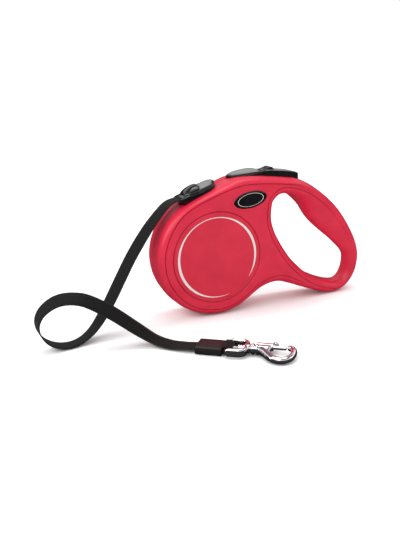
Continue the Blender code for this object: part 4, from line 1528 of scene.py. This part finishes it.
@dataclass
class Badges:
    """The domed black oval on each side, with a fine silver oval line and nothing written on it."""

    centre: tuple[float, float] = (26.0, 38.6)
    reach: tuple[float, float] = (12.4, 5.6)
    tilt: float = math.radians(8)
    face: float = 15.6

    def outline(self, grow: float = 0.0, shrink: float = 1.0, points: int = 72) -> list[tuple[float, float]]:
        """The oval's points.

        Args:
            grow: How far outside the badge.
            shrink: The share of its size.
            points: How many.

        Returns:
            The (x, z) points.
        """
        found = []
        for turn in np.linspace(0, 2 * np.pi, points, endpoint=False):
            u, v = ((half + grow) * shrink * wave for half, wave in zip(self.reach, (math.cos(turn), math.sin(turn))))
            x = self.centre[0] + u * math.cos(self.tilt) - v * math.sin(self.tilt)
            found.append((x, self.centre[1] + u * math.sin(self.tilt) + v * math.cos(self.tilt)))
        return found

    def build(self) -> None:
        """Makes both badges and their silver lines."""
        for side, word in SIDES:
            rings = []
            for shrink, lift in ((0.97, -0.5), (1.0, -0.3), (1.0, 0.05), (0.985, 0.2), (0.95, 0.32), (0.86, 0.47),
                                 (0.7, 0.6), (0.5, 0.69), (0.3, 0.74), (0.1, 0.76)):  # fmt: skip
                rings.append([(x, side.value * (self.face + lift), z) for x, z in self.outline(0.0, shrink)])
            badge = Bench.tube_loft(f"{word}_badge", np.array(rings))
            Bench.dress(badge, BLACK_GLOSS, "casing", "badge_black", f"{word.lower()}_badge", smooth=40)
            line = []
            for shrink, lift in ((0.80, 0.52), (0.80, 0.57), (0.765, 0.59), (0.765, 0.54)):
                line.append([(x, side.value * (self.face + lift), z) for x, z in self.outline(0.0, shrink)])
            ring = Bench.ring_loft(f"{word}_badge_line", np.array(line).transpose(1, 0, 2))
            Bench.dress(ring, PRINT, "casing", "chrome", smooth=30)


def domed(name: str, rows: np.ndarray, bulge: float = 2.0) -> bpy.types.Object:
    """A long piece along X with a domed top, straight sides and a flat bottom.

    Args:
        name: The piece's name.
        rows: x | crown z | side z | half width | bottom z, one row a section.
        bulge: The dome's power: 2 is an ellipse, more is squarer.

    Returns:
        The closed piece.
    """
    spread = np.sin(np.linspace(-np.pi / 2, np.pi / 2, 19))
    rings = []
    for x, crown, side, half, base in rows:
        top = [(x, y * half, side + (crown - side) * (1 - abs(y) ** bulge) ** (1 / bulge)) for y in spread]
        low = [(x, half, (side + base) / 2), (x, half * 0.98, base), (x, half * 0.5, base)]
        rings.append([*top, *low, (x, 0.0, base), *[(a, -b, c) for a, b, c in low[::-1]]])
    return Bench.tube_loft(name, np.array(rings))


@dataclass
class Guide:
    """The tape guide in the nozzle, its polished hood and its grey pad. A row is as domed() takes it."""

    body: tuple[Point, ...] = (
        (-22.5, 42.3, 42.0, 7.9, 41.1), (-21.6, 43.2, 42.3, 8.3, 39.9), (-19.0, 44.5, 43.0, 8.4, 38.9),
        (-15.0, 46.6, 43.8, 8.4, 38.5), (-11.0, 48.6, 44.4, 8.4, 38.7), (-8.0, 49.8, 44.9, 8.4, 39.4),
        (-4.0, 51.2, 46.2, 8.3, 40.6), (-1.0, 52.1, 47.3, 8.0, 41.8), (1.2, 52.7, 48.3, 7.2, 42.8),
        (3.0, 52.9, 49.3, 5.7, 43.8), (4.2, 52.6, 50.0, 3.6, 44.6), (4.7, 51.8, 50.2, 1.4, 45.4),
    )  # fmt: skip
    hood: tuple[Point, ...] = (
        (-19.4, 44.9, 43.9, 3.5, 42.9), (-18.6, 46.2, 44.1, 5.6, 43.0), (-17.0, 47.6, 44.4, 7.2, 43.2),
        (-14.5, 49.2, 44.8, 7.9, 43.4), (-12.0, 50.4, 45.2, 8.15, 43.6), (-9.8, 51.0, 45.4, 8.15, 44.0),
        (-8.5, 50.9, 45.4, 8.0, 44.2), (-8.0, 50.4, 45.2, 7.7, 44.4),
    )  # fmt: skip
    pad: tuple[Point, ...] = (
        (-7.7, 50.2, 45.6, 7.3, 44.0), (-7.2, 50.6, 45.9, 7.5, 44.4), (-4.0, 51.7, 46.9, 7.5, 45.6),
        (-1.5, 52.5, 47.9, 7.2, 46.6), (0.6, 53.0, 48.9, 6.3, 47.6), (2.2, 53.1, 49.9, 4.9, 48.6),
        (3.4, 52.9, 50.8, 3.0, 49.4), (3.9, 52.5, 51.4, 1.2, 50.0),
    )  # fmt: skip
    widest: float = 8.4
    way: tuple[Point, ...] = (
        (-26.0, 43.15), (-18.5, 43.15), (14.0, 36.8), (14.0, 34.3), (-18.5, 41.1), (-26.0, 41.1),
    )  # fmt: skip

    def build(self) -> None:
        """Makes the guide, the hood and the pad."""
        guide = domed("Tape_guide_mouth", spline(self.body, 4))
        Bench.boolean(guide, Bench.slab("Way", self.way, -6.7, 6.7))
        Bench.dress(guide, BLACK_GLOSS_SOFT, "casing", "black_plastic", "tape_guide", smooth=38)
        hood = Bench.smooth(domed("Guide_hood", spline(self.hood, 4)), 50)
        Bench.dress(hood, BLACK_GLOSS, "casing", "badge_black", "guide_hood")
        pad = Bench.smooth(domed("Guide_pad", spline(self.pad, 4)), 50)
        Bench.dress(pad, GREY_PAD, "casing", "pad_grey", "guide_pad")

    def pocket_tool(self) -> bpy.types.Object:
        """The tool that cuts the guide's pocket into a half, following the guide's plan with a fine gap.

        Returns:
            The tool.
        """
        table = spline(self.body, 4)
        front = [(-27.0, -8.7)]
        for x, _, _, half, _ in table:
            wide = max(half, self.widest) if x < 0 else half
            front.append((x + (GAP if x > 4 else 0.0), -wide - GAP))
        plan = [*front, *[(x, -y) for x, y in front[::-1]]]
        return Bench.tube_loft("Guide_pocket", np.array([[(x, y, z) for x, y in plan] for z in (38.0, 58.0)]))


@dataclass
class Brake:
    """The brake button with its grey pads, and the sliding lock.

    A row is x | crown z | side z | half width | the dome's power. Spread is half of the places across the top.
    """

    rows: tuple[Point, ...] = (
        (14.4, 54.9, 54.2, 0.5, 2.0), (15.4, 55.4, 54.0, 1.7, 2.0), (17.0, 56.1, 53.7, 3.0, 2.0),
        (19.5, 56.8, 53.3, 4.4, 2.0), (23.0, 57.4, 52.9, 5.7, 2.1), (27.0, 57.85, 52.8, 6.6, 2.2),
        (31.0, 58.05, 52.9, 7.1, 2.3), (34.5, 57.8, 53.4, 7.2, 2.6), (38.0, 57.1, 54.8, 7.2, 3.2),
        (41.0, 56.55, 55.8, 7.2, 4.0), (46.0, 56.4, 55.55, 7.2, 4.0), (51.0, 56.0, 54.9, 7.2, 4.0),
        (57.0, 55.3, 54.1, 7.2, 4.0), (63.0, 54.3, 53.2, 7.2, 4.0), (67.2, 53.2, 52.3, 7.1, 4.0),
        (68.0, 52.6, 51.8, 6.9, 4.0),
    )  # fmt: skip
    pivot: tuple[float, float] = (19.0, 47.2)
    foot: float = 47.6
    spread: tuple[float, ...] = (0.0, 0.22, 0.45, 0.65, 0.8, 0.9, 0.95, 0.985, 1.0)

    def table(self) -> np.ndarray:
        """The rows, smoothed and multiplied."""
        return spline(self.rows, 4)

    def build(self) -> None:
        """Makes the button, its pads and the lock."""
        self.button()
        self.thumb_pad()
        self.lock()

    def button(self) -> None:
        """Makes the button's moulding: a crowned top over straight sides, with its pin hole and foot."""
        spread = [-y for y in self.spread[:0:-1]] + list(self.spread)
        rings = []
        for x, crown, side, half, power in self.table():
            top = [(x, y * half, side + (crown - side) * (1 - abs(y) ** power) ** (1 / power)) for y in spread]
            base = min(side - 1.0, self.foot)
            low = [(x, half, side - 0.3), (x, half, (side + base) / 2), (x, half, base), (x, half * 0.5, base)]
            rings.append([*top, *low, (x, 0.0, base), *[(a, -b, c) for a, b, c in low[::-1]]])
        body = Bench.tube_loft("Brake_button", np.array(rings))
        hub = Bench.rod("Hub", (self.pivot[0], 0, self.pivot[1]), 2.8, 14.0, 40)
        Bench.boolean(body, hub, Cut.JOIN)
        foot = Bench.block("Foot", (26.3, -10.3, 41.6), (29.2, -5.5, 48.5))
        Bench.boolean(body, foot, Cut.JOIN)
        Bench.boolean(body, Bench.rod("Pin_hole", (self.pivot[0], 0, self.pivot[1]), 1.5, 30, 32))
        Bench.boolean(body, Bench.block("Catch_slot", (43.6, -2.4, 52.6), (51.6, 2.4, 60.0)))
        Bench.boolean(body, Bench.block("Spring_seat", (54.0, -3.0, 40.0), (60.0, 3.0, 49.6)))
        Bench.dress(body, BLACK_GLOSS_SOFT, "button", "black_plastic", "brake_button", smooth=34)

    def thumb_pad(self) -> None:
        """Makes the soft grey pads let into the button's top: a leaf for the thumb, and a plate behind the lock."""
        table = self.table()
        for name, first, last, lift in (("Thumb_pad", 15.2, 38.6, 0.32), ("Rear_pad", 41.6, 66.8, 0.12)):
            rings = []
            for place in np.linspace(first, last, 34):
                crown, side, half, power = (float(np.interp(place, table[:, 0], table[:, i])) for i in (1, 2, 3, 4))
                ends = min(place - first, last - place) / 3.0
                reach = 0.86 * math.sqrt(max(0.02, 1 - max(0.0, 1 - ends) ** 2))
                rise = lift * min(1.0, math.sqrt(max(0.0, ends) + 0.02))
                ring = []
                for sink, spread in ((rise, np.linspace(-1, 1, 15)), (-0.5, np.linspace(1, -1, 15))):
                    for y in spread:
                        at = abs(y) * reach
                        z = side + (crown - side) * (1 - at**power) ** (1 / power)
                        edge = 1.0 if sink < 0 else math.sqrt(max(0.0, 1 - abs(y) ** 8))
                        ring.append((place, y * reach * half, z + (sink if sink < 0 else sink * edge)))
                rings.append(ring)
            pad = Bench.tube_loft(name, np.array(rings))
            if name == "Rear_pad":
                Bench.boolean(pad, Bench.block("Catch_slot", (43.4, -2.6, 52.0), (51.8, 2.6, 60.0)))
            Bench.dress(pad, GREY_PAD, "button", "pad_grey", smooth=40)

    def lock(self) -> None:
        """Makes the sliding lock: a rounded ridge with three grip grooves, on its stem."""
        outline = [(42.6, 56.7), (43.6, 57.05), (45.4, 57.65), (47.0, 58.2), (47.8, 58.35), (48.5, 58.1), (49.4, 57.3),
                   (50.2, 56.6), (50.1, 56.45), (42.7, 56.5)]  # fmt: skip
        catch = Bench.slab("Lock_catch", outline, -4.6, 4.6)
        Bench.finish_with(catch, "BEVEL", width=0.25 * MM, segments=3, limit_method="ANGLE", angle_limit=0.7)
        for x, z in ((44.6, 57.5), (45.6, 57.85), (46.6, 58.2)):
            Bench.boolean(catch, Bench.rod("Groove", (x, 0, z), 0.24, 12.0, 16))
        Bench.boolean(catch, Bench.block("Stem", (44.0, -2.0, 53.2), (48.0, 2.0, 57.6)), Cut.JOIN)
        Bench.dress(catch, BLACK, "catch", "black_plastic", "lock_catch", smooth=32)

    def slot_tool(self) -> bpy.types.Object:
        """The tool that cuts the button's slot into a half, following the button's plan with a fine gap.

        Returns:
            The tool.
        """
        table = self.table()
        front = [(x - 0.25 if x < 15 else x, -half - 0.35) for x, _, _, half, _ in table]
        front[0] = (14.0, -0.5)
        plan = [*front, (68.5, -7.4), (68.5, 7.4), *[(x, -y) for x, y in front[::-1]]]
        rings = [[(x, y, z) for x, y in plan] for z in (42.2, 66.0)]
        return Bench.tube_loft("Button_slot", np.array(rings))


# ---------------------------------------------------------------- inside


@dataclass
class Screws:
    """The casing's four screws, put in from the rear, each with a cross recess."""

    def build(self) -> None:
        """Makes each screw to the casing's thickness where it stands."""
        casing = Casing()
        for number, (x, z, head) in enumerate(casing.screws, 1):
            deep = float(casing.thickness(np.array(x)))
            top, shank = deep - 1.3, min(1.2, head - 0.45)
            profile = [(4.0 - deep, 0.3), (5.2 - deep, shank), (top - 1.5, shank), (top - 1.45, head)]
            profile += [(top - 0.5, head), (top - 0.15, head * 0.86), (top, head * 0.6), (top, 0.05)]
            turns = np.linspace(0, 2 * np.pi, 40, endpoint=False)
            rings = [[(x + r * math.cos(t), y, z + r * math.sin(t)) for t in turns] for y, r in profile]
            screw = Bench.tube_loft(f"Shell_screw_{number}", np.array(rings))
            for wide, tall in ((head * 0.6, 0.28), (0.28, head * 0.6)):
                slot = Bench.block("Recess", (x - wide, top - 0.8, z - tall), (x + wide, top + 1.0, z + tall))
                Bench.boolean(screw, slot)
            Bench.dress(screw, STEEL, "casing", "steel", f"case_screw_{number}", smooth=32)


@dataclass
class Inside:
    """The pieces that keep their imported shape: they get their finishes.

    Pressed is the share of its height that the button's spring keeps when the button is down.
    """

    finishes: tuple[tuple[str, Finish], ...] = (
        ("axle", STEEL), ("button_pin", STEEL), ("pawl_pin", STEEL), ("brake_pawl", STEEL),
        ("front_washer", BRASS), ("rear_washer", BRASS), ("reel_drum", ACETAL), ("reel_cover", ACETAL),
        ("brake_ring", BLACK), ("spring_arbor", BLACK),
    )  # fmt: skip
    springs: tuple[str, ...] = ("power_spring", "button_spring", "bolt_spring")
    pressed: float = 0.5

    def build(self) -> None:
        """Assigns each piece its material, and gives the button's spring a mesh of its own."""
        spring = Plated("Drawn spring steel", (0.42, 0.43, 0.45), 0.25)
        wound = Wound("Edges of the wound tape", (0.012, 0.012, 0.012), 0.7, middle=tuple(Bench.origin))
        picked = dict(self.finishes) | {name: spring for name in self.springs}
        picked |= {"tape_roll": wound, "tape_lead": wound}
        for name, finish in picked.items():
            mesh = bpy.data.objects[name].data
            if not mesh.materials:
                mesh.materials.append(None)
            for index in range(len(mesh.materials)):
                mesh.materials[index] = finish.material()
        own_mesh(bpy.data.objects["button_spring"])
        log.info("%d inner pieces finished", len(picked))


def corners(box: tuple[Vector, Vector]) -> list[list[float]]:
    """A box's two corners as plain numbers."""
    return [[float(value) for value in corner] for corner in box]


def main() -> None:
    """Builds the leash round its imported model, in order."""
    logging.basicConfig(level=logging.INFO, format="%(name)s: %(message)s")
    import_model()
    low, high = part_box("front_disc")
    Bench.origin = Vector(((low.x + high.x) / 2, 0.0, (low.z + high.z) / 2))
    Viewpoint().build()
    TapeLine().build()
    Casing().build()
    Discs().build()
    Badges().build()
    Guide().build()
    Brake().build()
    Screws().build()
    Inside().build()
    Studio().build()


if __name__ == "__main__":
    main()
